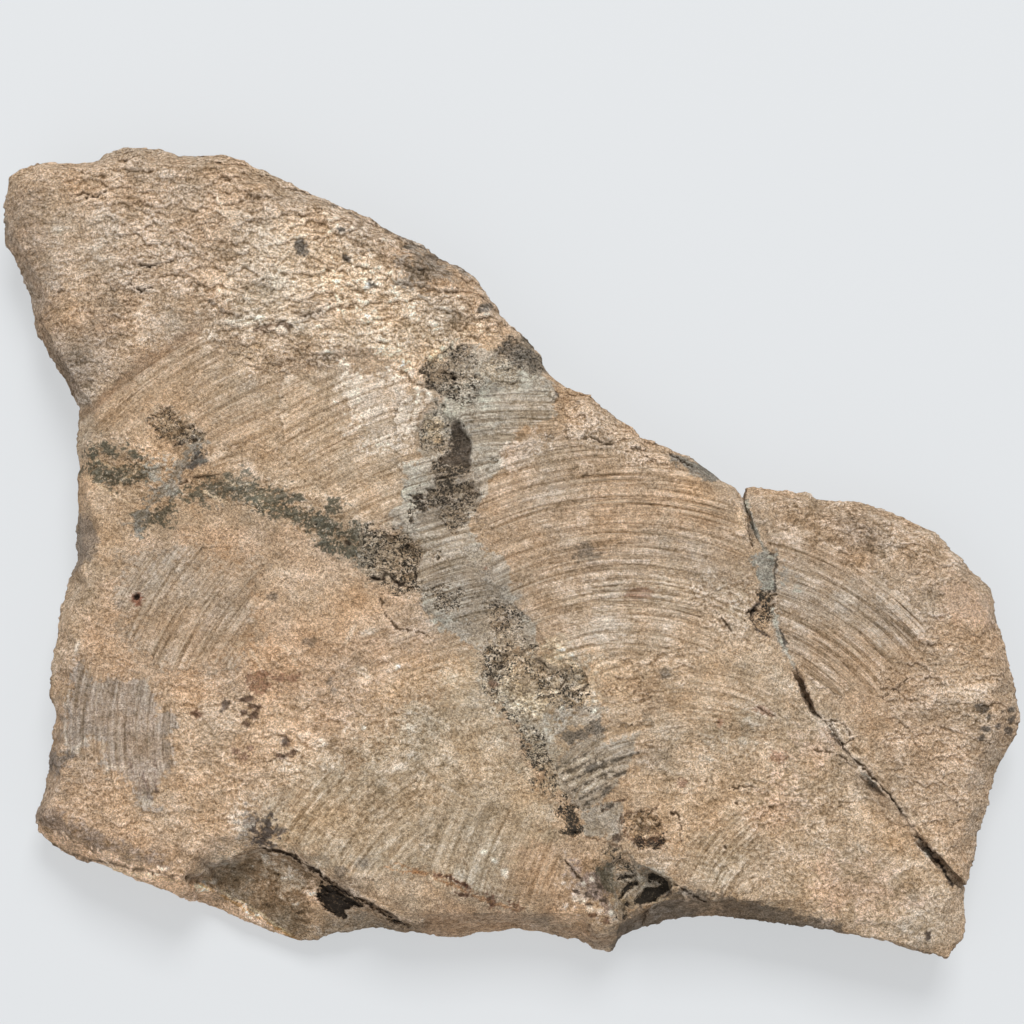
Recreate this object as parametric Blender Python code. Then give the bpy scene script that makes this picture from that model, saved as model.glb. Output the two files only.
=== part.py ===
# Mended limestone slab, the rough back of a fossil plate: four pieces of rock
# set in three runs of grey filler, lying on its flat face, ground face up.
# Sizes below are millimetres; meshes are made in metres. +X is the long way,
# +Y is the way from the straight lower edge to the pointed upper one.
import math

import bmesh
import bpy
from mathutils import Vector, noise
from mathutils.geometry import delaunay_2d_cdt

MM = 0.001

JOINT_GAP = 0.3          # between a rock piece and the filler beside it
EDGE_STEP = 7.0          # longest straight bit of an outline
GRID_STEP = 7.6          # spacing of the points over the upper face
GRID_MARGIN = 3.4        # upper face points keep this far inside an outline
WALL_LEVELS = (0.52, 0.1, 0.0)      # heights of the side rings, as shares of the rim
WALL_PULL = (0.7, 1.3, 3.2)         # how far each ring stands in from the outline
WALL_LUMP = 1.1          # broken rock on the sides
CORNER_SHARE = 0.6       # of that standing in, where a joint meets the outline
ROUGH_LUMP = 1.0         # broken rock on the natural upper face
GROUND_LUMP = 0.25       # unevenness where the face was ground
LUMP_SIZE = 17.0
SPOT_SPREAD = 17.0       # how far one spot height is felt
RIM_SPREAD = 9.0         # how far one rim mark is felt

# The slab's outer edge, clockwise, as runs between the mouths of the joints.
RUNS = {
    "upper_left_edge": [
        (-150, 33.5), (-149.5, 47.5), (-155.5, 57.5), (-163.5, 70.5), (-167, 76),
        (-168.5, 83), (-170, 89.5), (-176, 104), (-179.5, 109.5), (-179.5, 119),
        (-177.5, 132), (-173.5, 135), (-166.5, 136.5), (-147, 137.5), (-140.5, 142),
        (-136.5, 143), (-130, 143.5), (-123.5, 143), (-117, 140.5), (-101, 141),
        (-94, 138.5), (-84, 133.5), (-73, 128), (-57, 121), (-47, 117), (-43.5, 114),
        (-28.5, 106.5), (-21.5, 101.5), (-15, 99), (-10.5, 96.5), (-7, 91.5),
        (-1.5, 82.5), (5.5, 75.5),
    ],
    "centre_mouth_upper": [(5.5, 75.5), (9, 72.5), (13.5, 66.5), (14.5, 61), (22.5, 54.5)],
    "middle_upper_edge": [
        (22.5, 54.5), (30.5, 52), (38, 45), (44.5, 41.5), (48, 37.5), (55, 34.5),
        (65.5, 30.5), (74, 24.5), (76.5, 22), (81.5, 19.5), (83, 15),
    ],
    "right_mouth_upper": [(83, 15), (84.6, 15)],
    "right_edge": [
        (84.6, 15), (85.5, 19.5), (89, 19.5), (98.5, 18), (103, 17), (106, 18),
        (110, 15.5), (128.5, 13.5), (140.5, 9.5), (152.5, 3.5), (160, -5),
        (164, -9.5), (171, -15.5), (172, -20.5), (172, -27.5), (174, -31.5),
        (175.5, -36.5), (175.5, -41.5), (178, -52), (179.5, -61.5), (178, -67),
        (172, -77), (168, -84.5), (166.5, -93), (163, -100.5), (162.5, -105),
        (158.5, -119),
    ],
    "right_mouth_lower": [(158.5, -119), (157.5, -122)],
    "middle_lower_edge": [
        (157.5, -122), (157.5, -126.5), (158, -131), (156.5, -136.5), (154, -138.5),
        (151.5, -143.5), (148, -142.5), (131, -137.5), (117.5, -135), (103.5, -132.5),
        (86, -130), (68.5, -128.5), (54.5, -131), (47.5, -133),
    ],
    "centre_mouth_lower": [(47.5, -133), (40.5, -136.5), (38.5, -139.5)],
    "lower_left_edge": [
        (38.5, -139.5), (36.5, -141.5), (33, -141), (26, -137.5), (12.5, -135),
        (4, -134), (-8.5, -135), (-17, -137), (-31, -135), (-45, -133.5),
        (-57.5, -135), (-65, -137.5), (-71.5, -138), (-83.5, -134), (-89, -131),
        (-106.5, -124.5), (-120.5, -118.5), (-136.5, -112.5), (-151, -108),
        (-158.5, -103.5), (-161.5, -100.5), (-162.5, -96), (-159.5, -81.5),
        (-159, -75), (-156, -59), (-157.5, -53.5), (-157.5, -42.5), (-155, -28.5),
        (-153.5, -13.5), (-151, -5.5), (-150.5, 2.5), (-149.5, 17),
    ],
    "left_mouth": [(-149.5, 17), (-149, 25.5), (-150, 33.5)],
}

# The joints between rock and filler, each from one edge or fork to the next.
JOINTS = {
    "left_joint_upper": [
        (-150, 33.5), (-141, 33), (-132.5, 30.5), (-123.5, 28), (-117.5, 34.5),
        (-111, 36.5), (-104.5, 30.5), (-109.5, 21.5), (-98.5, 23), (-90.5, 24),
        (-83.5, 21.5), (-76.5, 16.5), (-62, 11), (-50.5, 5), (-49.5, 1.5), (-37, 1),
    ],
    "left_joint_lower": [
        (-149.5, 17), (-140.5, 15), (-133.5, 12.5), (-128, 6.5), (-119.5, 5),
        (-110.5, 5), (-105.5, 9.5), (-95.5, 12.5), (-88.5, 11), (-83.5, 8),
        (-71, 6.5), (-61.5, 0.5), (-61, -6.5), (-53.5, -7.5), (-50, -15),
        (-43, -18.5), (-36, -20), (-27.5, -18.5),
    ],
    "fork": [(-37, 1), (-30, -6), (-27.5, -18.5)],
    "centre_joint_upper_left": [
        (5.5, 75.5), (-1.5, 72), (-9, 70.5), (-15, 72), (-22.5, 66.5), (-28, 61),
        (-25, 50), (-30, 43.5), (-32, 38), (-30, 28.5), (-35.5, 27), (-35, 22.5),
        (-28, 19.5), (-28, 14), (-35.5, 12.5), (-41.5, 8.5), (-37, 1),
    ],
    "centre_joint_lower_left": [
        (-27.5, -18.5), (-27, -22.5), (-22.5, -29), (-16, -33), (-9.5, -39.5),
        (-8, -47), (-5.5, -51), (-2, -60.5), (2.5, -64), (3.5, -69.5), (6.5, -77),
        (12.5, -83.5), (13.5, -89.5), (18, -92), (18, -100), (22.5, -103),
        (33, -104.5), (32.5, -111), (29.5, -116), (37, -125.5), (39, -131),
        (38.5, -139.5),
    ],
    "centre_joint_right": [
        (22.5, 54.5), (17.5, 50), (16.5, 45.5), (9, 41.5), (3, 33.5), (-0.5, 27),
        (-6, 22), (-9.5, 7.5), (-12.5, 4.5), (-12, 0.5), (-1.5, -4), (-0.5, -12.5),
        (1, -18), (4.5, -24), (10.5, -28.5), (14, -35.5), (21.5, -40), (26.5, -42),
        (30, -54.5), (33.5, -60.5), (33.5, -65.5), (22, -72.5), (32, -75),
        (34.5, -84), (40.5, -91), (39.5, -103), (45, -111), (56, -117),
        (57, -121.5), (50, -126.5), (47.5, -133),
    ],
    "right_joint_left": [
        (83, 15), (83.3, 10), (85, 3), (87, -3), (85.5, -6.5), (87.5, -11),
        (88.5, -21.5), (85.5, -25), (85.5, -28.5), (88, -31), (92, -31),
        (94, -36), (95.5, -40), (98.5, -45), (101, -50.5), (103, -56), (106, -62),
        (110.5, -68), (115.5, -75), (120.5, -81.5), (129.5, -91), (134, -96),
        (139.5, -103), (143, -107.5), (151.5, -117), (157.5, -122),
    ],
    "right_joint_right": [
        (84.6, 15), (85.3, 10), (87, 3), (89.5, -3), (93.5, -4), (92.5, -8),
        (94.5, -13.5), (92, -22.5), (94.5, -27.5), (96, -34), (97.7, -39),
        (100.5, -43.5), (103.2, -49), (105.2, -55), (108, -60.8), (112.3, -66.8),
        (117.4, -73.6), (122.5, -80), (131.4, -89.6), (136, -94.5), (141.5, -101),
        (145.5, -105.5), (153, -114.5), (158.5, -119),
    ],
}

# Which runs go round each piece, clockwise. A minus sign takes a run backwards.
PIECES = {
    "upper_left_block": ["upper_left_edge", "centre_joint_upper_left", "-left_joint_upper"],
    "lower_left_block": ["lower_left_edge", "left_joint_lower", "centre_joint_lower_left"],
    "middle_block": ["middle_upper_edge", "right_joint_left", "middle_lower_edge",
                     "-centre_joint_right"],
    "right_block": ["right_edge", "-right_joint_right"],
    "left_seam_filler": ["left_joint_upper", "fork", "-left_joint_lower", "left_mouth"],
    "centre_seam_filler": ["centre_mouth_upper", "centre_joint_right", "centre_mouth_lower",
                           "-centre_joint_lower_left", "-fork", "-centre_joint_upper_left"],
    "right_seam_filler": ["right_mouth_upper", "right_joint_right", "right_mouth_lower",
                          "-right_joint_left"],
}

# Colour, roughness and metallic value of each piece.
FINISHES = {
    "upper_left_block": ((0.46, 0.34, 0.23), 0.95, 0.0),
    "lower_left_block": ((0.42, 0.31, 0.21), 0.93, 0.0),
    "middle_block": ((0.47, 0.35, 0.24), 0.9, 0.0),
    "right_block": ((0.43, 0.32, 0.22), 0.93, 0.0),
    "left_seam_filler": ((0.17, 0.15, 0.11), 0.85, 0.0),
    "centre_seam_filler": ((0.26, 0.24, 0.19), 0.85, 0.0),
    "right_seam_filler": ((0.3, 0.28, 0.25), 0.85, 0.0),
}

# Spot heights of the upper face away from its rim: x, y, z.
SPOT_HEIGHTS = [
    (-165, 122, 31), (-166, 98, 28), (-140, 122, 33), (-108, 122, 34), (-70, 110, 33),
    (-142, 92, 34), (-110, 92, 35.5), (-72, 90, 34.5), (-34, 88, 32.5), (-8, 76, 30),
    (-130, 68, 33), (-96, 68, 33), (-60, 72, 33), (-130, 42, 31.5), (-90, 42, 32.5),
    (-50, 42, 33), (-10, 45, 32.5), (30, 38, 32), (-60, 18, 33), (30, 15, 33),
    (70, 12, 32), (0, 5, 33.5), (40, -15, 33.5), (80, -10, 32.5), (108, 0, 31),
    (135, -12, 31), (118, -32, 32.5), (152, -32, 30.5), (165, -58, 30.5),
    (135, -62, 32.5), (158, -92, 31), (100, -62, 32.5), (60, -60, 33), (60, -95, 33.5),
    (100, -95, 33), (80, -118, 32), (125, -122, 31.5), (146, -132, 31),
    (-130, -12, 31.5), (-95, -12, 32.5), (-142, -52, 31), (-100, -52, 33),
    (-50, -52, 33.5), (0, -48, 32.5), (-142, -92, 29), (-102, -90, 32),
    (-60, -92, 33), (0, -95, 33.5), (-40, -115, 32), (20, -115, 31.5), (-110, -112, 31),
]

# Rim marks along the outer edge: x, y, height of the rim, width of its shoulder.
RIM_MARKS = [
    (-175, 133, 27, 8), (-179, 115, 20, 15), (-169, 86, 18, 17), (-157, 60, 21, 11),
    (-150, 42, 27, 5), (-149, 25, 27, 4), (-150, 8, 23, 6), (-152, -6, 13, 9),
    (-155, -25, 24, 8), (-157, -50, 22, 10), (-159, -78, 13, 9), (-162, -93, 15, 13),
    (-157, -105, 15, 14), (-138, -112, 26, 5), (-112, -122, 27, 4), (-90, -131, 24, 3),
    (-68, -138, 20, 3), (-45, -134, 11, 4), (-20, -136, 9, 15), (5, -134, 10, 14),
    (25, -137, 9, 14), (36, -141, 7, 11), (43, -135, 11, 12), (60, -129, 20, 10),
    (78, -129, 24, 6), (103, -132, 26, 4), (126, -136, 29, 2), (150, -143, 26, 4),
    (157, -128, 25, 6), (165, -98, 24, 7), (175, -72, 22, 9), (178, -55, 22, 8),
    (172, -25, 20, 13), (160, -4, 20, 13), (140, 10, 21, 11), (112, 15, 24, 8),
    (90, 20, 25, 5), (84, 14, 24, 5), (74, 25, 23, 6), (60, 33, 25, 6),
    (44, 41, 25, 6), (30, 51, 26, 5), (16, 58, 26, 5), (11, 68, 23, 8),
    (-1, 81, 21, 12), (-14, 98, 22, 10), (-42, 113, 24, 8), (-73, 128, 24, 8),
    (-100, 141, 24, 9), (-130, 143, 24, 9), (-150, 138, 26, 7),
]

# The natural back of the upper left piece stands proud of the ground face.
ROUGH_BACK = [
    (-165, 38), (-148, 46), (-140, 51), (-127, 63), (-117, 69), (-105, 77), (-99, 66),
    (-87, 59), (-72, 58), (-56, 63), (-46, 64), (-35, 57), (-26, 50), (-26, 60),
    (-20, 68), (-14, 73), (5, 76), (40, 90), (0, 190), (-240, 190), (-240, 60),
]
ROUGH_BACK_RISE = 2.6
ROUGH_BACK_SLOPE = 4.0

# Hollows in the face: outline, depth, width of the sloping side, pieces it is in.
CENTRE = ("centre_seam_filler",)
LEFT = ("left_seam_filler",)
HOLLOWS = [
    ([(-27, 62), (-22, 66), (-15, 71), (-10, 70), (-8, 55), (-9, 48), (-19, 49), (-25, 53)],
     2.4, 2.5, CENTRE),
    ([(-6, 68), (6, 71), (9, 67), (8, 59), (-1, 55), (-7, 59)], 1.6, 3.0, CENTRE),
    ([(-29, 43), (-24, 48), (-18, 44), (-14, 37), (-12, 29), (-15, 26), (-22, 28), (-28, 35)],
     3.6, 2.0, CENTRE),
    ([(-22, 24), (-17, 21), (-11, 19), (-10, 14), (-13, 7), (-18, 5), (-24, 15)],
     2.4, 2.0, CENTRE),
    ([(-47, 0), (-34, 1), (-28, -5), (-28, -13), (-31, -18), (-41, -17), (-48, -12)],
     3.6, 3.0, CENTRE + LEFT),
    ([(-9, -23), (-1, -21), (9, -30), (14, -37), (6, -39), (-2, -35)], 1.6, 2.5, CENTRE),
    ([(-8, -41), (6, -36), (18, -41), (26, -44), (29, -53), (12, -60), (0, -60), (-4, -53)],
     2.8, 2.5, CENTRE),
    ([(6, -66), (15, -70), (17, -76), (14, -89), (10, -80)], 2.0, 2.0, CENTRE),
    ([(19, -93), (24, -92), (26, -97), (25, -102), (20, -100)], 2.8, 1.5, CENTRE),
    ([(36, -114), (46, -112), (57, -117), (58, -122), (48, -132), (38, -128)],
     8.0, 3.0, CENTRE),
    ([(-145, 20), (-118, 18), (-98, 15), (-75, 9), (-60, 4), (-60, -4), (-72, 14),
      (-100, 20), (-112, 33), (-122, 24), (-145, 29)], 1.2, 2.0, LEFT),
]

# The right joint is open in places: x, y, reach and depth of each low spot.
OPEN_SPOTS = [
    (84, 8, 9, 4.0), (88, -26, 5, 2.0), (103, -54, 9, 7.0), (113, -70, 6, 2.0),
    (126, -86, 7, 4.0), (145, -108, 9, 7.0), (155, -118, 6, 6.0),
]

# Below the ledge on the lower edge the rock broke away in a sloping facet.
LEDGE_FACET = [
    (-106, -119), (-99, -111), (-83, -106), (-73, -109), (-61, -116), (-47, -124),
    (-35, -130), (-24, -135), (-24, -150), (-71, -160), (-112, -135),
]
LEDGE_START = (-83, -106)
LEDGE_END = (-35, -130)
FACET_TOP = 23.0
FACET_SLOPE = 0.62
FACET_EDGE = 2.0

# The rounded grey nub on the upper edge.
NUB = [(57, 33), (65, 31), (76, 22), (70, 21), (62, 25)]
NUB_RISE = 1.6


def distance_to_segment(x, y, a, b):
    """Distance from a point to the straight line between two others."""
    dx, dy = b[0] - a[0], b[1] - a[1]
    length_squared = dx * dx + dy * dy or 1e-12
    t = max(0.0, min(1.0, ((x - a[0]) * dx + (y - a[1]) * dy) / length_squared))
    return math.hypot(x - a[0] - t * dx, y - a[1] - t * dy)


def depth_inside(x, y, outline):
    """Distance to a closed outline, positive inside it and negative outside."""
    inside = False
    nearest = 1e9
    for a, b in zip(outline, outline[1:] + outline[:1]):
        nearest = min(nearest, distance_to_segment(x, y, a, b))
        if (a[1] > y) != (b[1] > y):
            if x < (b[0] - a[0]) * (y - a[1]) / (b[1] - a[1]) + a[0]:
                inside = not inside
    return nearest if inside else -nearest


def soft_step(value):
    """0 below 0, 1 above 1, and a smooth slope between."""
    value = max(0.0, min(1.0, value))
    return value * value * (3 - 2 * value)


def lump(x, y, z=0.0, size=LUMP_SIZE):
    """Rounded unevenness between about -1 and 1."""
    coarse = noise.noise(Vector((x, y, z)) / size)
    fine = noise.noise(Vector((x, y, z + 40)) / (size * 0.45))
    return 1.3 * coarse + 0.7 * fine


def felt_average(x, y, marks, spread):
    """Average of the marks' values, each felt less the further it is away."""
    total = 0.0
    sums = [0.0] * (len(marks[0]) - 2)
    for mark in marks:
        distance_squared = (x - mark[0]) ** 2 + (y - mark[1]) ** 2
        weight = math.exp(-distance_squared / (2 * spread * spread)) + 1e-9 / (1 + distance_squared)
        total += weight
        sums = [s + weight * value for s, value in zip(sums, mark[2:])]
    return [s / total for s in sums]


def rim_drop(x, y, face):
    """How far the face falls towards the outer edge at this place."""
    rim, width = felt_average(x, y, RIM_MARKS, RIM_SPREAD)
    share = max(0.0, depth_inside(x, y, whole_edge)) / width
    if share >= 1:
        return 0.0
    return (face - rim) * (1 - math.sqrt(1 - (1 - share) ** 2))


def top_height(x, y, piece):
    """Height of the upper face at this place."""
    rough = soft_step(depth_inside(x, y, ROUGH_BACK) / ROUGH_BACK_SLOPE)
    face = felt_average(x, y, SPOT_HEIGHTS, SPOT_SPREAD)[0]
    face += rough * ROUGH_BACK_RISE
    face += lump(x, y) * (GROUND_LUMP + rough * (ROUGH_LUMP - GROUND_LUMP))
    face -= rim_drop(x, y, face)
    face += NUB_RISE * soft_step(depth_inside(x, y, NUB) / 2)

    for outline, depth, slope, pieces in HOLLOWS:
        if piece in pieces:
            face -= depth * soft_step(depth_inside(x, y, outline) / slope + 0.5)
    if piece == "right_seam_filler":
        for spot_x, spot_y, reach, depth in OPEN_SPOTS:
            near = 1 - math.hypot(x - spot_x, y - spot_y) / reach
            face -= depth * soft_step(near * 1.6)

    if piece == "lower_left_block":
        along = Vector(LEDGE_END) - Vector(LEDGE_START)
        below = Vector((along.y, -along.x)).normalized().dot(Vector((x, y)) - Vector(LEDGE_START))
        facet = FACET_TOP - FACET_SLOPE * max(below, 0) + 0.8 * lump(x, y, 90)
        share = soft_step(depth_inside(x, y, LEDGE_FACET) / FACET_EDGE + 0.5)
        face = face + (min(face, facet) - face) * share
    return max(face, 5.0)


def divided(points):
    """The same line with points added so that no bit is longer than EDGE_STEP."""
    line = []
    for a, b in zip(points, points[1:]):
        count = max(1, math.ceil(math.dist(a, b) / EDGE_STEP))
        for i in range(count):
            share = i / count
            line.append((a[0] + (b[0] - a[0]) * share, a[1] + (b[1] - a[1]) * share))
    line.append(tuple(points[-1]))
    return line


def joined_runs(names):
    """Points round a closed loop of runs, and whether each bit of it is a joint."""
    points = []
    is_joint = []
    for name in names:
        run = name.lstrip("-")
        line = divided(RUNS.get(run) or JOINTS[run])
        if name.startswith("-"):
            line.reverse()
        points += line[:-1]
        is_joint += [run in JOINTS] * (len(line) - 1)
    return points, is_joint


def opened_joints(points, is_joint):
    """The loop, clockwise, drawn in by half the gap along its joints."""
    drawn = []
    for i, (x, y) in enumerate(points):
        before = points[i - 1]
        after = points[(i + 1) % len(points)]
        in_1 = Vector((y - before[1], before[0] - x)).normalized()
        in_2 = Vector((after[1] - y, x - after[0])).normalized()
        move_1 = JOINT_GAP / 2 if is_joint[i - 1] else 0.0
        move_2 = JOINT_GAP / 2 if is_joint[i] else 0.0
        cross = in_1.x * in_2.y - in_1.y * in_2.x
        if abs(cross) > 0.35:
            shift = Vector((move_1 * in_2.y - move_2 * in_1.y,
                            move_2 * in_1.x - move_1 * in_2.x)) / cross
        else:
            shift = (in_1 * move_1 + in_2 * move_2) / 2
        drawn.append((x + shift.x, y + shift.y))
    return drawn


def face_points(outline):
    """Points over the face inside an outline, in staggered rows."""
    low_x = min(p[0] for p in outline)
    low_y = min(p[1] for p in outline)
    high_x = max(p[0] for p in outline)
    high_y = max(p[1] for p in outline)
    row_step = GRID_STEP * math.sqrt(3) / 2
    points = []
    for row in range(int((high_y - low_y) / row_step) + 1):
        y = low_y + row * row_step
        x = low_x + (row % 2) * GRID_STEP / 2
        while x < high_x:
            if depth_inside(x, y, outline) > GRID_MARGIN:
                points.append((x, y))
            x += GRID_STEP
    return points


def hollow_points(piece, outline):
    """Points along the lips and floors of the hollows, so that they stay crisp."""
    points = []
    for loop, depth, slope, pieces in HOLLOWS:
        if piece in pieces:
            for x, y in divided(loop + loop[:1])[:-1]:
                if depth_inside(x, y, outline) > 1.6:
                    points.append((x, y))
    if piece == "lower_left_block":
        ledge = divided(LEDGE_FACET[:8])
        points += [p for p in ledge if depth_inside(*p, outline) > 2.2]
        points += [(x - 1.2, y - 2.2) for x, y in ledge if depth_inside(x - 1.2, y - 2.2, outline) > 2.2]
    if piece == "upper_left_block":
        step = divided(ROUGH_BACK[1:14])
        points += [p for p in step if depth_inside(*p, outline) > 2.2]
    return points


def thinned(points, keep):
    """The points that are clear of those to keep, and those to keep."""
    clear = [p for p in points if all(math.dist(p, k) > GRID_STEP * 0.45 for k in keep)]
    return clear + keep


def edge_pull(x, y):
    """Which way is inwards from the outer edge here, or nothing on a joint."""
    for i, point in enumerate(whole_edge):
        if math.dist(point, (x, y)) < 0.5:
            for line in JOINTS.values():
                for end, following in ((line[0], line[1]), (line[-1], line[-2])):
                    if math.dist(end, point) < 0.01:
                        return (Vector(following) - Vector(end)).normalized() * CORNER_SHARE
            before = whole_edge[i - 1]
            after = whole_edge[(i + 1) % len(whole_edge)]
            return Vector((after[1] - before[1], before[0] - after[0])).normalized()
    return None


def stone_material(name):
    """A plain material in the piece's own colour."""
    colour, roughness, metallic = FINISHES[name]
    material = bpy.data.materials.new(name)
    material.use_nodes = True
    shader = material.node_tree.nodes["Principled BSDF"]
    shader.inputs["Base Color"].default_value = (*colour, 1)
    shader.inputs["Roughness"].default_value = roughness
    shader.inputs["Metallic"].default_value = metallic
    return material


def upper_face(mesh, piece, outline):
    """The upper face as triangles that meet the outline, at its real heights."""
    keep = thinned_among(hollow_points(piece, outline))
    inner = thinned(face_points(outline), keep)
    flat = [Vector(p) for p in outline + inner]
    loop = list(range(len(outline)))
    edges = list(zip(loop, loop[1:] + loop[:1]))
    points, _, triangles = delaunay_2d_cdt(flat, edges, [loop], 1, 1e-5, False)[:3]
    corners = [mesh.verts.new((p.x, p.y, top_height(p.x, p.y, piece))) for p in points]
    for triangle in triangles:
        middle = sum((points[i] for i in triangle), Vector((0, 0))) / 3
        if depth_inside(middle.x, middle.y, outline) > 0:
            mesh.faces.new([corners[i] for i in triangle])


def thinned_among(points):
    """The points with those that crowd an earlier one left out."""
    kept = []
    for point in points:
        if all(math.dist(point, other) > 1.8 for other in kept):
            kept.append(point)
    return kept


def side_walls(mesh):
    """Walls from the rim of the upper face down to the flat underside."""
    rim = [edge for edge in mesh.edges if edge.is_boundary]
    pulls = {}
    rims = {}
    for vert in {v for edge in rim for v in edge.verts}:
        key = (round(vert.co.x, 4), round(vert.co.y, 4))
        pulls[key] = edge_pull(vert.co.x, vert.co.y)
        rims[key] = vert.co.copy()
    places = {v: (round(v.co.x, 4), round(v.co.y, 4)) for edge in rim for v in edge.verts}

    for level, pull in zip(WALL_LEVELS, WALL_PULL):
        made = bmesh.ops.extrude_edge_only(mesh, edges=rim)["geom"]
        fresh = [item for item in made if isinstance(item, bmesh.types.BMVert)]
        old_places = {(round(v.co.x, 5), round(v.co.y, 5), round(v.co.z, 5)): key
                      for v, key in places.items()}
        places = {}
        for vert in fresh:
            key = old_places[(round(vert.co.x, 5), round(vert.co.y, 5), round(vert.co.z, 5))]
            top = rims[key]
            inward = pulls[key]
            vert.co = Vector((top.x, top.y, top.z * level))
            if inward is not None:
                rough = WALL_LUMP * (0.5 + 0.5 * lump(top.x, top.y, 200 * level))
                vert.co.xy += inward * (pull + (rough if level else 0.0))
            places[vert] = key
        rim = [item for item in made if isinstance(item, bmesh.types.BMEdge) and item.is_boundary]
    bmesh.ops.contextual_create(mesh, geom=rim)


def stone_piece(name):
    """One closed piece of the slab, from its runs."""
    outline, is_joint = joined_runs(PIECES[name])
    outline = opened_joints(outline, is_joint)
    mesh = bmesh.new()
    upper_face(mesh, name, outline)
    side_walls(mesh)
    bmesh.ops.scale(mesh, vec=(MM, MM, MM), verts=mesh.verts)
    walls = [face for face in mesh.faces if len(face.verts) == 4]
    bmesh.ops.triangulate(mesh, faces=walls)
    bmesh.ops.recalc_face_normals(mesh, faces=mesh.faces)
    data = bpy.data.meshes.new(name)
    mesh.to_mesh(data)
    mesh.free()
    data.materials.append(stone_material(name))
    piece = bpy.data.objects.new(name, data)
    bpy.context.collection.objects.link(piece)


for old in list(bpy.data.objects):
    bpy.data.objects.remove(old)

whole_edge = joined_runs(list(RUNS))[0]
for piece_name in PIECES:
    stone_piece(piece_name)
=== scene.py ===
import math

import bpy
import numpy as np
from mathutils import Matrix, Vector
from mathutils.bvhtree import BVHTree


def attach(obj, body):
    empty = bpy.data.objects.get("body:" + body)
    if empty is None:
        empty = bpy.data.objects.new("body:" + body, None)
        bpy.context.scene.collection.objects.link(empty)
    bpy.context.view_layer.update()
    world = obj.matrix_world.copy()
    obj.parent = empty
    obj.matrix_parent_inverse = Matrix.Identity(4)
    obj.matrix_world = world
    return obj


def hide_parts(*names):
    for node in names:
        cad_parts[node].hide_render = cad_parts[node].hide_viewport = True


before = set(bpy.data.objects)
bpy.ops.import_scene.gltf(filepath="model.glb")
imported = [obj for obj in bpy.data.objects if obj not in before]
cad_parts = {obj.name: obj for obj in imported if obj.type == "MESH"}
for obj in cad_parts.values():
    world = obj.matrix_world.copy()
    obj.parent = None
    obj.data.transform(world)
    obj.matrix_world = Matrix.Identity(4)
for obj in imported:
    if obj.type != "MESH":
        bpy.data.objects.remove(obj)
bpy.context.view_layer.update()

# the slab lies with its ground face up, and the camera looks down on it
camera = {
    "lens": 85.0,
    "sensor": 36.0,
    "distance": 0.853,
    "elevation": 81.0,
    "target": (0.00283, 0.01135, 0.020),
    "picture": 1024,
}

# marks on the top are placed in the camera's own picture: across from its left edge, down from its top edge
stepMm = 0.35               # one picture step on the slab's top, in mm

mesh = {
    "quickCell": 0.0009,
    "smoothRounds": 2,
    "hiddenShare": 0.04,        # share of the triangles kept underneath and in the joints
    "wallShare": 0.30,          # share kept on the broken edges
    "jointReach": 0.0009,       # a wall this near to another piece is a joint
    "spread": 0.00055,          # how far a piece reaches over its joints, so that no groove shows
}


def pickOnly(thing):
    bpy.ops.object.select_all(action="DESELECT")
    thing.select_set(True)
    bpy.context.view_layer.objects.active = thing


def applyModifier(thing, kind, **settings):
    pickOnly(thing)
    modifier = thing.modifiers.new(kind.title(), kind)
    for name, value in settings.items():
        setattr(modifier, name, value)
    bpy.ops.object.modifier_apply(modifier=modifier.name)


def readVectors(items, name):
    values = np.empty(len(items) * 3, np.float32)
    items.foreach_get(name, values)
    return values.reshape(-1, 3)


def readField(piece, name):
    values = np.empty(len(piece.data.vertices), np.float32)
    piece.data.attributes[name].data.foreach_get("value", values)
    return values


def storeField(piece, name, values, kind="FLOAT"):
    attribute = piece.data.attributes.new(name, kind, "POINT")
    key = {"FLOAT": "value", "FLOAT_VECTOR": "vector", "FLOAT_COLOR": "color"}[kind]
    attribute.data.foreach_set(key, np.ascontiguousarray(values, np.float32).ravel())


# noise about nothing, most of it between -1 and 1
def evened(noise):
    return (noise.astype(float) - 0.5) / 0.08


def ramp(values, low, high):
    part = np.clip((values - low) / (high - low), 0.0, 1.0)
    return part * part * (3.0 - 2.0 * part)


# display colour, 0 to 1, made linear
def straight(colour):
    colour = np.asarray(colour, float)
    return np.where(colour <= 0.04045, colour / 12.92, ((colour + 0.055) / 1.055) ** 2.4)


def tint(red, green, blue):
    return (*[float(part) for part in straight([red / 255, green / 255, blue / 255])], 1.0)


# a node with its settings; an input is a value or the socket that feeds it
def addNode(tree, kind, inputs=None, **settings):
    node = tree.nodes.new(kind)
    for name, value in settings.items():
        setattr(node, name, value)
    for name, value in (inputs or {}).items():
        socket = node.inputs[name]
        if isinstance(value, bpy.types.NodeSocket):
            tree.links.new(value, socket)
        else:
            socket.default_value = value
    return node


def calculate(tree, operation, first, second=0.0, third=0.0, clamp=False):
    return addNode(tree, "ShaderNodeMath", {0: first, 1: second, 2: third}, operation=operation,
                   use_clamp=clamp).outputs[0]


def multiply(tree, first, *others):
    for other in others:
        first = calculate(tree, "MULTIPLY", first, other)
    return first


def vectorMath(tree, operation, *values):
    return addNode(tree, "ShaderNodeVectorMath", dict(enumerate(values)), operation=operation).outputs[0]


# a place in metres as one in mm
def intoMm(tree, place):
    return vectorMath(tree, "MULTIPLY", place, (1000.0,) * 3)


def addNoise(tree, place, scale, detail, roughness, output="Fac"):
    return addNode(tree, "ShaderNodeTexNoise", {"Vector": place, "Scale": scale, "Detail": detail,
                                                "Roughness": roughness}).outputs[output]


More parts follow.
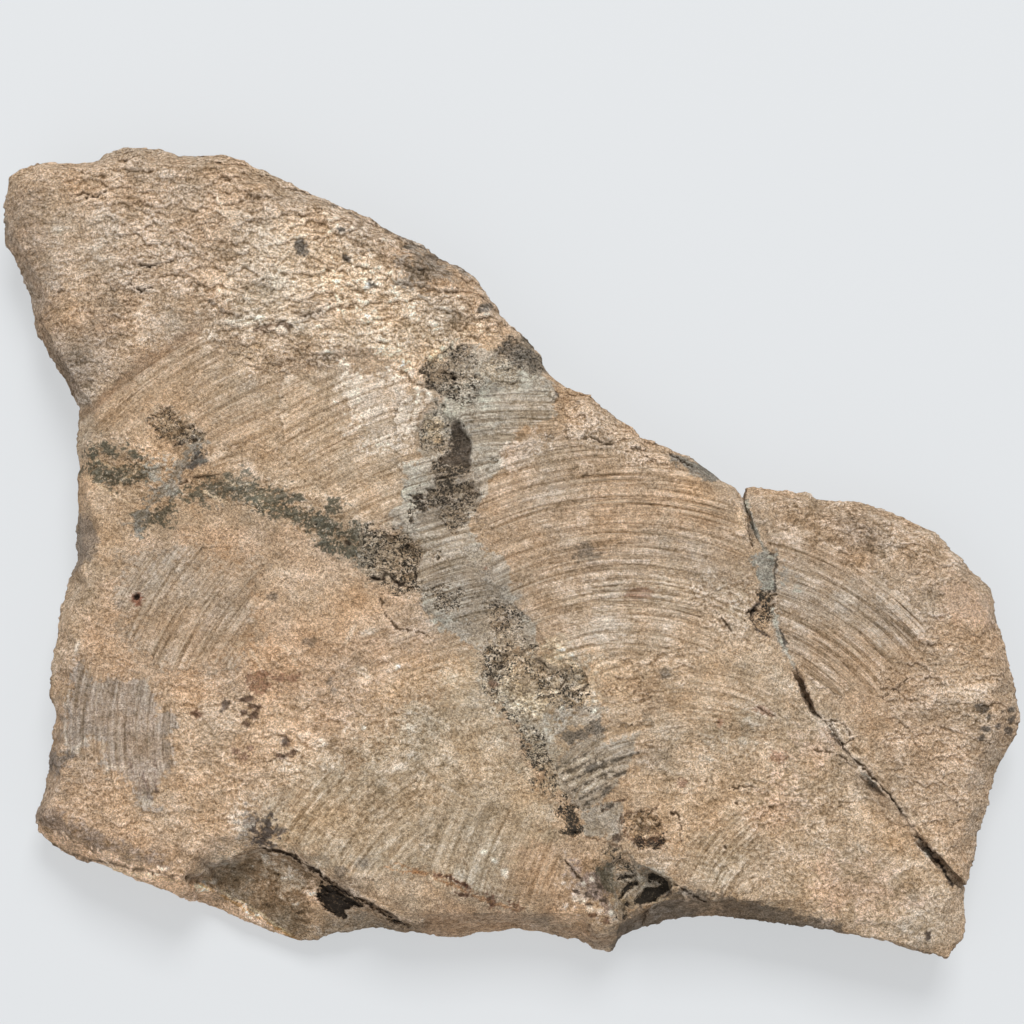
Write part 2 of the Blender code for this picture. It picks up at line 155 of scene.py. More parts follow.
# each field: size in mm along the pattern's three directions, detail, roughness, place
bodyNoise = {
    "drift": ((22, 22, 22), 2, 0.5, 3.1),
    "bendU": ((7, 7, 7), 3, 0.6, 11.7),
    "bendV": ((7, 7, 7), 3, 0.6, 23.9),
    "lump": ((11, 8, 8), 3, 0.55, 31.3),
    "rock": ((4.6, 3.4, 3.4), 3, 0.62, 47.5),
    "crumb": ((1.9, 1.6, 1.6), 2, 0.6, 59.2),
    "fleck": ((1.1, 1.1, 1.1), 1, 0.5, 71.8),
    "patchy": ((9, 9, 9), 4, 0.6, 83.3),
}
# along the disc's arcs
cutNoise = {
    "band": ((4.2, 110, 1), 1, 0.5, 29.1),
    "furrow": ((1.9, 60, 1), 2, 0.5, 5.3),
    "scratch": ((0.85, 30, 1), 2, 0.6, 17.9),
}
# flakes lie over one another like shingles: size in mm, how far their outlines wander in mm, place
flakeNoise = {
    "flake": ((8.0, 5.0, 6.0), 2.2, 7.7),
    "chip": ((3.0, 2.1, 2.6), 0.8, 37.1),
    "bit": ((1.5, 1.1, 1.3), 0.5, 53.3),
}


# a tree that adds fields to a mesh's points, still empty
def startFieldTree(title):
    tree = bpy.data.node_groups.new(title, "GeometryNodeTree")
    for way in ("INPUT", "OUTPUT"):
        tree.interface.new_socket(name="Geometry", in_out=way, socket_type="NodeSocketGeometry")
    return tree, tree.nodes.new("NodeGroupInput").outputs[0]


def keepField(tree, flow, name, value):
    inputs = {"Name": name, "Geometry": flow, "Value": value}
    node = addNode(tree, "GeometryNodeStoreNamedAttribute", inputs, data_type="FLOAT", domain="POINT")
    return node.outputs[0]


# moves a pattern, so that no two fields are alike
def movedBy(shift):
    return (shift, shift * 0.7, -shift)


# source names the attribute that the noise follows; without one it follows the points, in mm
def makeNoiseTree(title, fields, source=None):
    tree, flow = startFieldTree(title)
    if source:
        place = addNode(tree, "GeometryNodeInputNamedAttribute", {"Name": source}, data_type="FLOAT_VECTOR")
    else:
        place = addNode(tree, "GeometryNodeInputPosition")
    unit = 1.0 if source else 1000.0
    for name, (size, detail, roughness, shift) in fields.items():
        scale = [unit / part for part in size]
        scaled = vectorMath(tree, "MULTIPLY_ADD", place.outputs[0], scale, movedBy(shift))
        flow = keepField(tree, flow, name, addNoise(tree, scaled, 1.0, detail, roughness))
    addNode(tree, "NodeGroupOutput", {0: flow})
    return tree


def makeFlakeTree(title, fields):
    tree, flow = startFieldTree(title)
    place = intoMm(tree, addNode(tree, "GeometryNodeInputPosition").outputs[0])
    for name, (size, wander, shift) in fields.items():
        noise = addNoise(tree, place, 1.6 / size[1], 3.0, 0.6, "Color")
        stray = vectorMath(tree, "MULTIPLY_ADD", noise, (wander * 2,) * 3, (-wander,) * 3)
        strayed = vectorMath(tree, "ADD", place, stray)
        scaled = vectorMath(tree, "MULTIPLY_ADD", strayed, [1.0 / part for part in size], movedBy(shift))
        cells = addNode(tree, "ShaderNodeTexVoronoi", {"Vector": scaled, "Scale": 1.0})
        # each flake has its own level and rises towards the slab's lower edge
        level = addNode(tree, "ShaderNodeSeparateXYZ", {0: cells.outputs["Color"]}).outputs[0]
        way = vectorMath(tree, "SUBTRACT", cells.outputs["Position"], scaled)
        rise = addNode(tree, "ShaderNodeSeparateXYZ", {0: way}).outputs[1]
        flow = keepField(tree, flow, name, calculate(tree, "ADD", level, rise))
    addNode(tree, "NodeGroupOutput", {0: flow})
    return tree


bodyNoiseTree = makeNoiseTree("Body noise", bodyNoise)
cutNoiseTree = makeNoiseTree("Cut noise", cutNoise, "cut")
flakeTree = makeFlakeTree("Flakes", flakeNoise)
print("noise fields ready")


# grinder passes: where the arcs' centre is, the depth of the furrows in mm, how much they show, outline
passes = {
    "shoulder": ((406, 738), 0.34, 0.65, [(60, 430), (96, 400), (142, 366), (205, 326), (225, 358),
        (300, 380), (330, 420), (250, 470), (180, 440)]),
    "shoulder top": ((500, 765), 0.38, 0.75, [(280, 380), (372, 362), (405, 380), (425, 420), (415, 500),
        (400, 530), (330, 512), (285, 490)]),
    "above the seam": ((379, 846), 0.3, 0.6, [(205, 440), (260, 450), (330, 480), (335, 510), (280, 500),
        (205, 478)]),
    "filler": ((530, 860), 0.52, 1.0, [(400, 400), (440, 380), (520, 372), (575, 385), (560, 430),
        (505, 460), (470, 560), (520, 620), (520, 640), (440, 620), (400, 575), (420, 520), (395, 460)]),
    "middle": ((627, 833), 0.48, 0.95, [(475, 470), (560, 430), (620, 455), (700, 470), (745, 520),
        (755, 600), (735, 640), (650, 670), (560, 660), (515, 640), (490, 560)]),
    "middle low": ((686, 862), 0.36, 0.7, [(590, 660), (660, 655), (760, 670), (790, 720), (740, 735),
        (640, 735), (600, 735)]),
    "right": ((705, 826), 0.62, 1.0, [(760, 520), (800, 525), (880, 575), (930, 625), (915, 680),
        (870, 700), (820, 690), (790, 650), (775, 600)]),
    "right low": ((690, 952), 0.3, 0.6, [(838, 735), (872, 728), (908, 790), (932, 850), (905, 850),
        (870, 800)]),
    "steep": ((649, 835), 0.55, 0.7, [(553, 770), (565, 750), (600, 728), (650, 722), (652, 752),
        (625, 778), (607, 795), (584, 812)]),
    "left patch": ((350, 735), 0.38, 0.8, [(60, 750), (66, 690), (80, 655), (100, 665), (150, 680),
        (178, 712), (172, 760), (160, 810), (136, 812), (104, 775)]),
    "brushed": ((521, 824), 0.28, 0.8, [(120, 560), (200, 545), (265, 560), (255, 640), (230, 665),
        (160, 670), (120, 620)]),
    "lower middle": ((540, 1020), 0.26, 0.65, [(340, 650), (400, 620), (470, 625), (480, 690), (440, 700),
        (350, 690)]),
    "foot left": ((560, 1000), 0.26, 0.7, [(255, 800), (330, 770), (420, 760), (430, 880), (340, 880),
        (270, 845)]),
    "foot right": ((800, 970), 0.26, 0.75, [(420, 780), (480, 800), (560, 830), (570, 900), (520, 910),
        (430, 885)]),
    "corner": ((860, 960), 0.42, 0.85, [(676, 880), (684, 840), (712, 812), (752, 812), (770, 850),
        (760, 895), (700, 895)]),
}

# how broken the top is, painted in this order: share, softness, outline
roughZones = [
    (0.25, 10, [(40, 560), (440, 620), (560, 800), (560, 900), (300, 880), (30, 830)]),
    (0.45, 14, [(60, 660), (340, 640), (440, 690), (420, 770), (230, 880), (30, 830)]),
    (0.1, 8, [(130, 540), (330, 560), (420, 600), (330, 640), (130, 690)]),
    (0.12, 8, [(250, 800), (330, 765), (430, 760), (560, 830), (560, 900), (420, 900), (300, 870)]),
    (0.05, 2, [(66, 746), (68, 692), (80, 662), (137, 683), (152, 692), (175, 713), (168, 750), (154, 807),
        (137, 807), (124, 769), (105, 769), (78, 748)]),
    (0.34, 14, [(640, 740), (780, 690), (900, 730), (960, 880), (940, 957), (700, 900), (620, 840)]),
    (0.65, 6, [(725, 780), (800, 770), (850, 800), (830, 840), (760, 830)]),
    (0.6, 8, [(560, 690), (610, 680), (640, 640), (700, 650), (690, 690), (620, 715)]),
    (0.6, 5, [(700, 570), (760, 575), (760, 640), (715, 640), (690, 600)]),
    (1.0, 4, [(540, 385), (600, 396), (640, 430), (690, 455), (690, 468), (640, 466), (600, 452),
        (570, 440), (560, 420), (552, 400)]),
    (0.55, 12, [(745, 485), (800, 520), (850, 535), (893, 560), (935, 610), (905, 660), (890, 700),
        (880, 760), (930, 830), (965, 890), (1060, 740), (1000, 560), (900, 490)]),
    (0.75, 8, [(880, 660), (960, 680), (1000, 660), (1040, 740), (960, 760), (880, 720)]),
    (0.95, 3.5, [(-40, 200), (78, 415), (82, 408), (104, 394), (142, 362), (170, 344), (205, 322),
        (222, 350), (255, 370), (300, 373), (345, 360), (372, 359), (405, 377), (432, 396), (430, 365),
        (455, 345), (480, 344), (500, 330), (540, 340), (420, 200), (200, 120), (0, 130)]),
    (0.55, 16, [(-20, 180), (60, 160), (110, 230), (110, 400), (-20, 400)]),
    (0.4, 10, [(140, 300), (200, 290), (210, 320), (110, 390), (90, 380)]),
    (0.03, 3, [(76, 420), (104, 392), (142, 358), (172, 340), (200, 324), (192, 340), (152, 366),
        (114, 396), (90, 418)]),
    (0.15, 5, [(942, 592), (965, 584), (990, 600), (988, 620), (950, 622)]),
    (0.3, 3, [(185, 868), (228, 846), (263, 842), (325, 872), (425, 925), (320, 950), (240, 930),
        (180, 890)]),
    (0.45, 3, [(83, 450), (150, 450), (200, 478), (300, 496), (366, 530), (362, 560), (320, 545),
        (280, 515), (200, 508), (150, 520), (90, 480)]),
]

# hollow and crumbly places: how dark, how deep in mm, outline; the darkness is partly the crumbs' own dark
# colour and partly painted shade, the pits' sides turned from the light are painted shade, and 1.0 is a hole
# painted black as shade, with a crisp border
cavities = {
    "top pit": (0.42, 1.7, [(423, 365), (434, 356), (449, 355), (459, 343), (474, 345), (474, 355),
        (477, 365), (474, 373), (487, 386), (482, 396), (478, 408), (459, 408), (446, 401), (438, 391),
        (426, 381)]),
    "top pit's shaded side": (0.58, 2.3, [(423, 372), (440, 364), (455, 374), (462, 392), (452, 402),
        (438, 391), (426, 381)]),
    "plate pit": (0.2, 1.3, [(480, 362), (494, 352), (506, 350), (519, 366), (522, 384), (512, 388),
        (496, 386), (484, 378)]),
    "corner pit": (0.46, 1.3, [(494, 342), (520, 334), (534, 342), (542, 356), (547, 372), (540, 380),
        (528, 374), (519, 366), (506, 352)]),
    "angular pit": (0.42, 1.9, [(441, 405), (452, 418), (462, 430), (458, 448), (450, 462), (443, 454),
        (430, 452), (416, 446), (414, 430), (424, 415)]),
    "angular pit's shaded side": (0.1, 2.6, [(449, 412), (456, 416), (463, 424), (468, 436), (472, 448),
        (473, 460), (466, 466), (452, 465), (441, 461), (446, 450), (450, 437)]),
    "low pit": (0.66, 1.0, [(432, 463), (449, 463), (466, 464), (470, 474), (452, 480), (462, 487),
        (452, 496), (440, 500), (430, 508), (416, 514), (411, 521), (409, 512), (419, 502), (433, 494),
        (436, 484), (434, 476)]),
    "low pit's pale end": (0.54, 0.9, [(440, 492), (456, 486), (470, 480), (477, 492), (474, 508),
        (466, 520), (454, 528), (443, 522), (438, 508)]),
    "seam end": (0.54, 1.1, [(363, 532), (375, 527), (393, 531), (406, 534), (416, 542), (426, 549),
        (441, 551), (426, 561), (416, 569), (414, 580), (428, 589), (416, 594), (399, 590), (383, 590),
        (366, 585), (361, 572), (363, 556)]),
    "left pit": (0.42, 0.7, [(148, 424), (156, 414), (166, 411), (178, 415), (190, 427), (204, 436),
        (202, 446), (186, 448), (170, 445), (156, 438)]),
    "speckles": (0.52, 0.5, [(430, 592), (452, 594), (464, 592), (460, 606), (440, 608)]),
    "strewn": (0.46, 0.5, [(473, 600), (486, 598), (506, 602), (521, 612), (528, 636), (545, 655),
        (520, 652), (500, 650), (490, 625)]),
    "hollow's near side": (0.56, 1.2, [(478, 650), (492, 640), (508, 644), (514, 662), (508, 676),
        (496, 684), (486, 676), (480, 664)]),
    "hollow": (0.46, 1.1, [(508, 650), (530, 652), (545, 664), (560, 672), (585, 680), (588, 704),
        (570, 712), (556, 712), (545, 700), (530, 682), (510, 678)]),
    "hollow's pale floor": (0.24, 0.8, [(498, 684), (516, 680), (532, 686), (548, 702), (552, 714),
        (540, 724), (522, 722), (506, 706)]),
    "hollow's far side": (0.5, 1.0, [(556, 668), (572, 664), (586, 668), (592, 684), (590, 700), (574, 704),
        (562, 690)]),
    "hollow's rim": (0.62, 0.8, [(486, 684), (496, 688), (506, 706), (520, 724), (530, 742), (520, 738),
        (506, 718), (494, 702)]),
    "hollow tail": (0.52, 0.6, [(515, 722), (534, 728), (546, 742), (553, 768), (562, 800), (550, 800),
        (534, 778), (520, 750)]),
    "step's face": (0.4, 0.3, [(557, 735), (580, 726), (600, 719), (604, 729), (584, 738), (567, 746)]),
    "dark block": (0.8, 0.7, [(559, 802), (576, 803), (581, 818), (580, 833), (572, 836), (560, 831),
        (562, 816)]),
    "right blob": (0.78, 1.4, [(757, 590), (772, 592), (771, 607), (768, 614), (756, 616), (752, 622),
        (751, 612), (760, 604)]),
    "right blob's foot": (0.5, 1.0, [(751, 614), (768, 612), (772, 622), (768, 634), (756, 632),
        (751, 624)]),
    "rubble": (0.28, 0.9, [(622, 815), (640, 810), (656, 818), (668, 833), (666, 846), (650, 843),
        (634, 838), (622, 832)]),
    "rubble's holes": (0.66, 1.3, [(633, 838), (642, 833), (652, 836), (662, 836), (668, 843), (660, 847),
        (650, 842), (640, 846)]),
    "speckled foot": (0.5, 0.4, [(600, 848), (612, 846), (626, 856), (636, 868), (622, 872), (606, 864)]),
    "ledge hollow": (1.0, 3.0, [(320, 880), (331, 882), (346, 890), (361, 899), (366, 905), (357, 908),
        (346, 911), (341, 919), (331, 914), (321, 908), (319, 896)]),
    "ledge slot": (1.0, 2.2, [(366, 902), (378, 906), (396, 916), (411, 926), (396, 922), (380, 914),
        (368, 908)]),
    "ledge's far end": (0.6, 0.3, [(386, 914), (400, 917), (416, 926), (421, 933), (404, 932), (390, 924)]),
    "first crescent": (1.0, 2.2, [(614, 880), (620, 875), (628, 873), (637, 873), (634, 877), (626, 879),
        (618, 883)]),
    "second crescent": (1.0, 2.2, [(645, 874), (654, 875), (664, 878), (673, 882), (664, 883), (652, 880)]),
    "first void": (1.0, 2.6, [(618, 897), (620, 889), (626, 883), (635, 881), (638, 885), (632, 890),
        (627, 894), (624, 900)]),
    "second void": (1.0, 2.6, [(635, 902), (641, 894), (650, 889), (660, 886), (672, 884), (670, 890),
        (662, 896), (652, 901), (644, 905), (636, 906)]),
    "third void": (1.0, 2.0, [(622, 908), (627, 903), (635, 902), (635, 906), (628, 911)]),
    "fourth void": (1.0, 2.0, [(616, 918), (622, 911), (631, 909), (631, 914), (622, 920)]),
}

# stains and changed colour on the top: colour, how solid, softness, raggedness, outline
broadPatches = [
    ((184, 161, 136), 0.8, 16, 2.0, [(0, 130), (120, 140), (420, 240), (540, 340), (430, 396), (205, 322),
        (80, 400)]),
    ((209, 187, 160), 0.8, 16, 2.0, [(225, 215), (330, 225), (430, 290), (520, 350), (430, 370), (330, 350),
        (250, 330), (205, 280)]),
    # painted shade where the top curves away at the left edge
    ((159, 138, 116), 0.8, 16, 2.0, [(-20, 200), (40, 190), (62, 330), (90, 400), (60, 420), (-20, 300)]),
    ((206, 186, 164), 0.45, 12, 3.0, [(95, 215), (140, 208), (165, 235), (140, 262), (105, 250)]),
    ((175, 153, 128), 0.8, 14, 2.0, [(82, 415), (142, 370), (205, 330), (260, 380), (330, 400), (330, 510),
        (200, 470), (85, 440)]),
    ((189, 167, 141), 0.8, 14, 2.0, [(270, 385), (420, 372), (420, 520), (330, 520), (260, 470)]),
    ((214, 196, 176), 0.85, 6, 3.0, [(345, 368), (400, 372), (425, 400), (415, 440), (385, 450),
        (350, 420)]),
    ((175, 152, 127), 0.8, 14, 2.0, [(480, 520), (500, 460), (620, 450), (740, 500), (750, 640), (600, 660),
        (520, 630)]),
    ((192, 170, 145), 0.8, 12, 2.0, [(560, 590), (640, 585), (740, 600), (750, 650), (640, 665),
        (580, 650)]),
    ((188, 163, 136), 0.8, 8, 2.0, [(556, 395), (600, 400), (690, 458), (690, 470), (600, 460),
        (556, 440)]),
    ((173, 151, 127), 0.8, 14, 2.0, [(745, 490), (860, 505), (960, 560), (1010, 640), (1020, 740),
        (960, 880), (880, 760), (780, 640)]),
    ((176, 149, 125), 0.6, 8, 2.0, [(940, 590), (965, 580), (990, 600), (988, 622), (950, 625)]),
    ((186, 163, 136), 0.8, 14, 2.0, [(600, 660), (760, 640), (880, 760), (960, 880), (940, 957), (700, 900),
        (600, 740)]),
    ((180, 153, 126), 0.8, 14, 2.0, [(300, 530), (420, 600), (440, 640), (340, 720), (180, 880), (30, 830),
        (70, 640), (130, 540), (240, 520)]),
    ((191, 165, 136), 0.6, 16, 2.5, [(110, 690), (310, 700), (300, 790), (200, 850), (110, 810)]),
    ((166, 148, 127), 0.75, 9, 3.0, [(120, 560), (200, 545), (265, 565), (255, 640), (230, 660), (160, 668),
        (122, 620)]),
    ((184, 157, 128), 0.7, 9, 2.0, [(260, 540), (360, 570), (400, 620), (320, 640), (260, 600)]),
]
seamGreen = (78, 72, 57)
patches = [
    # painted shade on the step where the disc began, then the pits and the bare patch at the left
    ((146, 121, 96), 0.8, 3, 0.6, [(79, 416), (104, 391), (142, 357), (172, 339), (203, 322), (193, 338),
        (154, 363), (116, 392), (88, 418)]),
    ((146, 136, 121), 0.85, 1.6, 0.8, [(423, 365), (449, 355), (459, 343), (474, 345), (494, 345),
        (520, 333), (534, 342), (545, 360), (548, 376), (520, 390), (482, 396), (472, 408), (459, 408),
        (446, 401), (438, 391), (426, 381)]),
    ((158, 144, 130), 0.85, 1.6, 1.2, [(66, 746), (68, 692), (80, 662), (93, 679), (112, 679), (137, 683),
        (152, 692), (160, 711), (175, 713), (177, 727), (168, 736), (172, 750), (164, 767), (162, 788),
        (154, 807), (137, 807), (129, 784), (124, 769), (105, 769), (103, 750), (99, 736), (78, 748)]),
    ((173, 155, 130), 0.75, 12, 3.0, [(255, 830), (300, 790), (340, 765), (440, 690), (480, 640),
        (500, 690), (525, 760), (570, 840), (560, 890), (420, 880), (330, 872)]),
    ((192, 174, 150), 0.45, 6, 3.0, [(262, 800), (300, 755), (335, 745), (350, 775), (300, 815),
        (268, 830)]),
    ((164, 138, 111), 0.8, 9, 2.0, [(520, 850), (575, 835), (600, 860), (590, 925), (520, 905),
        (500, 880)]),
    # the grey filler's ground face
    ((173, 164, 150), 0.92, 1.3, 0.7, [(548, 376), (556, 392), (552, 404), (558, 412), (548, 419),
        (538, 427), (521, 429), (513, 441), (503, 455), (505, 466), (489, 478), (486, 490), (476, 504),
        (470, 519), (470, 533), (483, 549), (501, 554), (507, 568), (513, 584), (509, 592), (515, 604),
        (524, 615), (538, 631), (540, 645), (500, 652), (477, 655), (469, 644), (456, 632), (439, 629),
        (437, 623), (425, 608), (422, 592), (414, 580), (416, 560), (416, 542), (399, 529), (393, 524),
        (386, 516), (393, 509), (406, 499), (403, 489), (406, 483), (404, 473), (403, 464), (416, 463),
        (418, 454), (415, 446), (424, 415), (440, 404), (440, 380), (480, 345), (530, 345)]),
    ((142, 130, 114), 0.65, 8, 2.0, [(428, 560), (500, 560), (512, 590), (520, 625), (470, 640),
        (430, 610)]),
    ((210, 193, 176), 0.75, 2.5, 1.5, [(503, 455), (520, 432), (548, 428), (545, 448), (531, 463),
        (505, 465)]),
    ((170, 151, 126), 0.8, 4, 2.0, [(500, 650), (560, 640), (600, 665), (604, 715), (590, 740), (560, 800),
        (545, 790), (520, 730)]),
    ((150, 139, 123), 0.9, 1.2, 0.5, [(553, 775), (565, 752), (603, 722), (604, 745), (640, 732),
        (636, 745), (625, 772), (607, 795), (584, 812), (565, 795)]),
    # the dark filler and what lies on it
    (seamGreen, 0.9, 1.4, 2.0, [(90, 446), (106, 443), (120, 449), (133, 455), (126, 462), (108, 457),
        (91, 453)]),
    (seamGreen, 0.92, 1.4, 2.0, [(83, 461), (103, 459), (140, 462), (160, 468), (153, 480), (136, 485),
        (113, 490), (100, 480), (85, 474)]),
    (seamGreen, 0.85, 1.4, 2.0, [(128, 512), (150, 504), (170, 501), (173, 516), (169, 527), (141, 526)]),
    ((124, 117, 105), 0.85, 1.8, 1.6, [(198, 440), (207, 446), (204, 455), (192, 464), (182, 480),
        (168, 500), (152, 514), (138, 528), (130, 522), (146, 502), (160, 484), (172, 466), (184, 450)]),
    ((150, 146, 136), 0.6, 1.5, 1.5, [(152, 466), (166, 458), (172, 466), (160, 482), (150, 480)]),
    # painted shadow in the left pit
    ((62, 55, 48), 0.8, 1.4, 1.2, [(172, 440), (181, 436), (190, 440), (186, 448), (178, 454), (173, 448)]),
    ((70, 66, 62), 0.7, 1.4, 1.2, [(196, 452), (206, 450), (205, 460), (194, 466), (188, 474), (184, 468)]),
    (seamGreen, 0.85, 1.4, 2.4, [(186, 484), (200, 480), (219, 475), (236, 479), (261, 487), (291, 496),
        (286, 503), (266, 503), (244, 507), (219, 502), (205, 500), (206, 508), (198, 510), (186, 498)]),
    (seamGreen, 0.92, 1.4, 2.4, [(254, 508), (277, 506), (302, 507), (333, 513), (350, 526), (366, 532),
        (370, 544), (363, 561), (338, 557), (326, 545), (302, 524), (277, 518), (261, 516)]),
    # pits and bare stone in the fillers
    ((158, 145, 126), 0.8, 2.5, 1.5, [(363, 532), (375, 527), (406, 534), (441, 551), (424, 564),
        (416, 592), (366, 586), (361, 572)]),
    ((160, 148, 129), 0.75, 3, 2.0, [(478, 648), (530, 644), (590, 664), (592, 700), (556, 712), (562, 800),
        (548, 800), (520, 738), (486, 684)]),
    ((162, 150, 132), 0.7, 2, 1.6, [(148, 424), (156, 414), (178, 415), (204, 436), (202, 446),
        (170, 445)]),
    ((134, 122, 106), 0.8, 2, 1.5, [(432, 463), (466, 464), (477, 492), (466, 520), (443, 524), (411, 521),
        (420, 500), (434, 484)]),
    ((108, 98, 85), 0.78, 1.2, 1.0, [(493, 344), (506, 340), (520, 336), (531, 345), (541, 362), (546, 376),
        (536, 374), (524, 366), (514, 370), (505, 358), (499, 352)]),
    ((178, 166, 146), 0.7, 2, 1.2, [(479, 366), (492, 356), (508, 360), (519, 370), (520, 386), (504, 387),
        (486, 382)]),
    ((196, 178, 149), 0.75, 3, 3.0, [(499, 686), (516, 681), (533, 688), (548, 702), (546, 716), (530, 718),
        (514, 708), (503, 698)]),
    ((206, 184, 152), 0.8, 2, 2.0, [(540, 650), (556, 652), (580, 664), (574, 668), (556, 664),
        (544, 660)]),
    ((150, 142, 130), 0.7, 2, 1.5, [(548, 712), (566, 708), (586, 702), (598, 708), (592, 716), (566, 724),
        (554, 730)]),
    # painted shade on the angular pit's smooth face
    ((82, 73, 63), 0.92, 1.2, 0.5, [(450, 411), (457, 416), (464, 424), (469, 436), (473, 448), (474, 460),
        (468, 466), (452, 466), (441, 462), (446, 450), (450, 437)]),
    ((196, 174, 142), 0.7, 2.5, 2.0, [(424, 422), (434, 416), (440, 426), (436, 442), (426, 442)]),
    ((172, 162, 147), 0.9, 1.0, 0.4, [(551, 732), (572, 718), (594, 710), (602, 717), (580, 726),
        (556, 736)]),
    ((112, 104, 93), 0.9, 1.0, 0.4, [(556, 734), (580, 727), (601, 719), (604, 730), (584, 738),
        (566, 747)]),
    # the foot of the filler, rust spots
    ((156, 147, 133), 0.95, 1.2, 0.5, [(584, 808), (603, 802), (625, 804), (625, 818), (617, 831),
        (607, 840), (593, 838), (580, 833)]),
    ((156, 132, 106), 0.4, 3, 2.5, [(622, 812), (650, 815), (668, 835), (660, 848), (640, 842),
        (622, 835)]),
    ((88, 82, 68), 0.94, 1.4, 0.8, [(592, 868), (604, 863), (612, 868), (617, 880), (615, 898), (605, 897),
        (596, 886)]),
    ((112, 101, 84), 0.6, 2, 2.6, [(600, 848), (612, 846), (626, 856), (636, 868), (622, 872), (606, 864)]),
    ((84, 54, 38), 0.88, 0.9, 1.0, [(483, 896), (492, 899), (496, 908), (488, 908)]),
    ((92, 60, 40), 0.85, 0.9, 1.0, [(510, 903), (520, 905), (527, 913), (516, 913)]),
    ((114, 84, 64), 0.7, 1.2, 1.6, [(249, 673), (258, 672), (268, 677), (280, 674), (292, 673), (300, 679),
        (292, 687), (274, 687), (255, 688)]),
    ((196, 182, 168), 0.5, 3, 3.0, [(576, 890), (592, 882), (606, 895), (604, 915), (588, 912)]),
    ((104, 86, 74), 0.6, 1.5, 3.0, [(580, 872), (600, 878), (606, 892), (612, 910), (600, 905),
        (592, 888)]),
    # the ledge and the rims
    # the facet's own brown-grey, made darker as painted shade on a face turned down
    ((146, 124, 99), 0.95, 1.3, 0.7, [(197, 880), (215, 868), (240, 856), (257, 848), (290, 855),
        (320, 873), (318, 895), (315, 915), (312, 937), (300, 941), (276, 925), (253, 909), (225, 893),
        (205, 885)]),
    ((102, 87, 67), 0.62, 2.4, 3.0, [(212, 876), (230, 866), (250, 858), (262, 870), (240, 884), (252, 902),
        (235, 896), (215, 886)]),
    ((104, 88, 67), 0.58, 2.4, 3.5, [(262, 892), (285, 896), (300, 915), (304, 935), (285, 930),
        (262, 912)]),
    ((160, 144, 122), 0.6, 4, 3.5, [(258, 862), (285, 862), (302, 880), (296, 898), (272, 890)]),
    ((180, 153, 125), 0.8, 1.6, 1.5, [(309, 878), (319, 874), (320, 890), (317, 905), (312, 918),
        (307, 900)]),
    # painted shade on the facets at the left edge, which turn away from the light
    ((134, 118, 101), 0.9, 1.3, 0.7, [(72, 512), (86, 516), (96, 530), (97, 545), (90, 558), (76, 572),
        (58, 574)]),
    ((120, 108, 96), 0.85, 2, 1.5, [(40, 740), (55, 753), (76, 755), (61, 768), (51, 773), (35, 765)]),
    ((160, 132, 104), 0.7, 8, 2.0, [(420, 893), (480, 905), (580, 925), (590, 945), (400, 940)]),
    # painted shade where the bevel slopes down to the lower-left edge
    ((126, 108, 91), 0.75, 2.5, 1.5, [(34, 806), (50, 810), (80, 826), (120, 842), (150, 852), (168, 862),
        (160, 868), (146, 864), (110, 852), (70, 838), (36, 826)]),
    ((196, 165, 135), 0.9, 1.2, 0.8, [(36, 826), (70, 840), (110, 854), (150, 867), (190, 881), (228, 900),
        (253, 916), (276, 929), (298, 942), (290, 950), (240, 930), (200, 910), (150, 890), (100, 868),
        (60, 852), (30, 834)]),
    ((122, 106, 86), 0.75, 4, 2.0, [(318, 914), (340, 920), (360, 912), (420, 928), (425, 938), (330, 942),
        (318, 940)]),
    ((196, 170, 140), 0.6, 3, 1.5, [(330, 872), (360, 884), (400, 905), (420, 915), (440, 905), (400, 885),
        (350, 866)]),
    ((122, 114, 102), 0.9, 1.2, 0.4, [(664, 450), (676, 452), (690, 457), (706, 466), (724, 479),
        (700, 479), (684, 471), (671, 462)]),
    # pale places on the stone
    ((204, 186, 164), 0.5, 8, 3.0, [(200, 312), (250, 312), (256, 330), (210, 334)]),
    ((204, 186, 166), 0.5, 8, 3.0, [(125, 318), (152, 316), (156, 342), (130, 346)]),
    ((200, 180, 158), 0.4, 12, 3.0, [(160, 235), (205, 240), (215, 300), (165, 300)]),
    ((202, 184, 160), 0.5, 7, 3.0, [(725, 584), (756, 590), (754, 620), (730, 622)]),
    # the right seam
    ((142, 137, 127), 0.9, 1.2, 0.4, [(752, 555), (764, 552), (776, 551), (774, 592), (764, 591),
        (755, 575)]),
    ((138, 132, 122), 0.6, 2.5, 1.5, [(777, 562), (790, 566), (796, 580), (782, 581)]),
    # the rim beside the tip, and stains
    ((134, 121, 102), 0.85, 2, 1.2, [(612, 872), (640, 868), (676, 878), (684, 886), (664, 896), (646, 904),
        (626, 920), (616, 920), (612, 900)]),
    # painted shade on the lower wall right of the tip
    ((104, 91, 76), 0.92, 1.6, 0.8, [(638, 909), (660, 899), (678, 888), (692, 885), (706, 891), (740, 897),
        (764, 903), (800, 914), (842, 928), (842, 940), (700, 940), (612, 960), (612, 930), (622, 922)]),
    ((150, 128, 104), 0.6, 2, 2.0, [(690, 900), (712, 900), (724, 906), (712, 914), (694, 912)]),
    ((160, 146, 130), 0.4, 2.0, 2.0, [(868, 606), (882, 600), (900, 618), (914, 636), (900, 648),
        (884, 640), (872, 626)]),
    ((70, 60, 52), 0.92, 1.6, 2.2, [(246, 828), (252, 820), (262, 824), (272, 817), (277, 832), (271, 844),
        (256, 841)]),
    ((198, 182, 162), 0.45, 1.4, 2.5, [(234, 818), (246, 812), (250, 824), (244, 836), (236, 830)]),
    ((124, 112, 97), 0.75, 2, 2.6, [(398, 262), (412, 254), (430, 256), (452, 262), (464, 271), (450, 274),
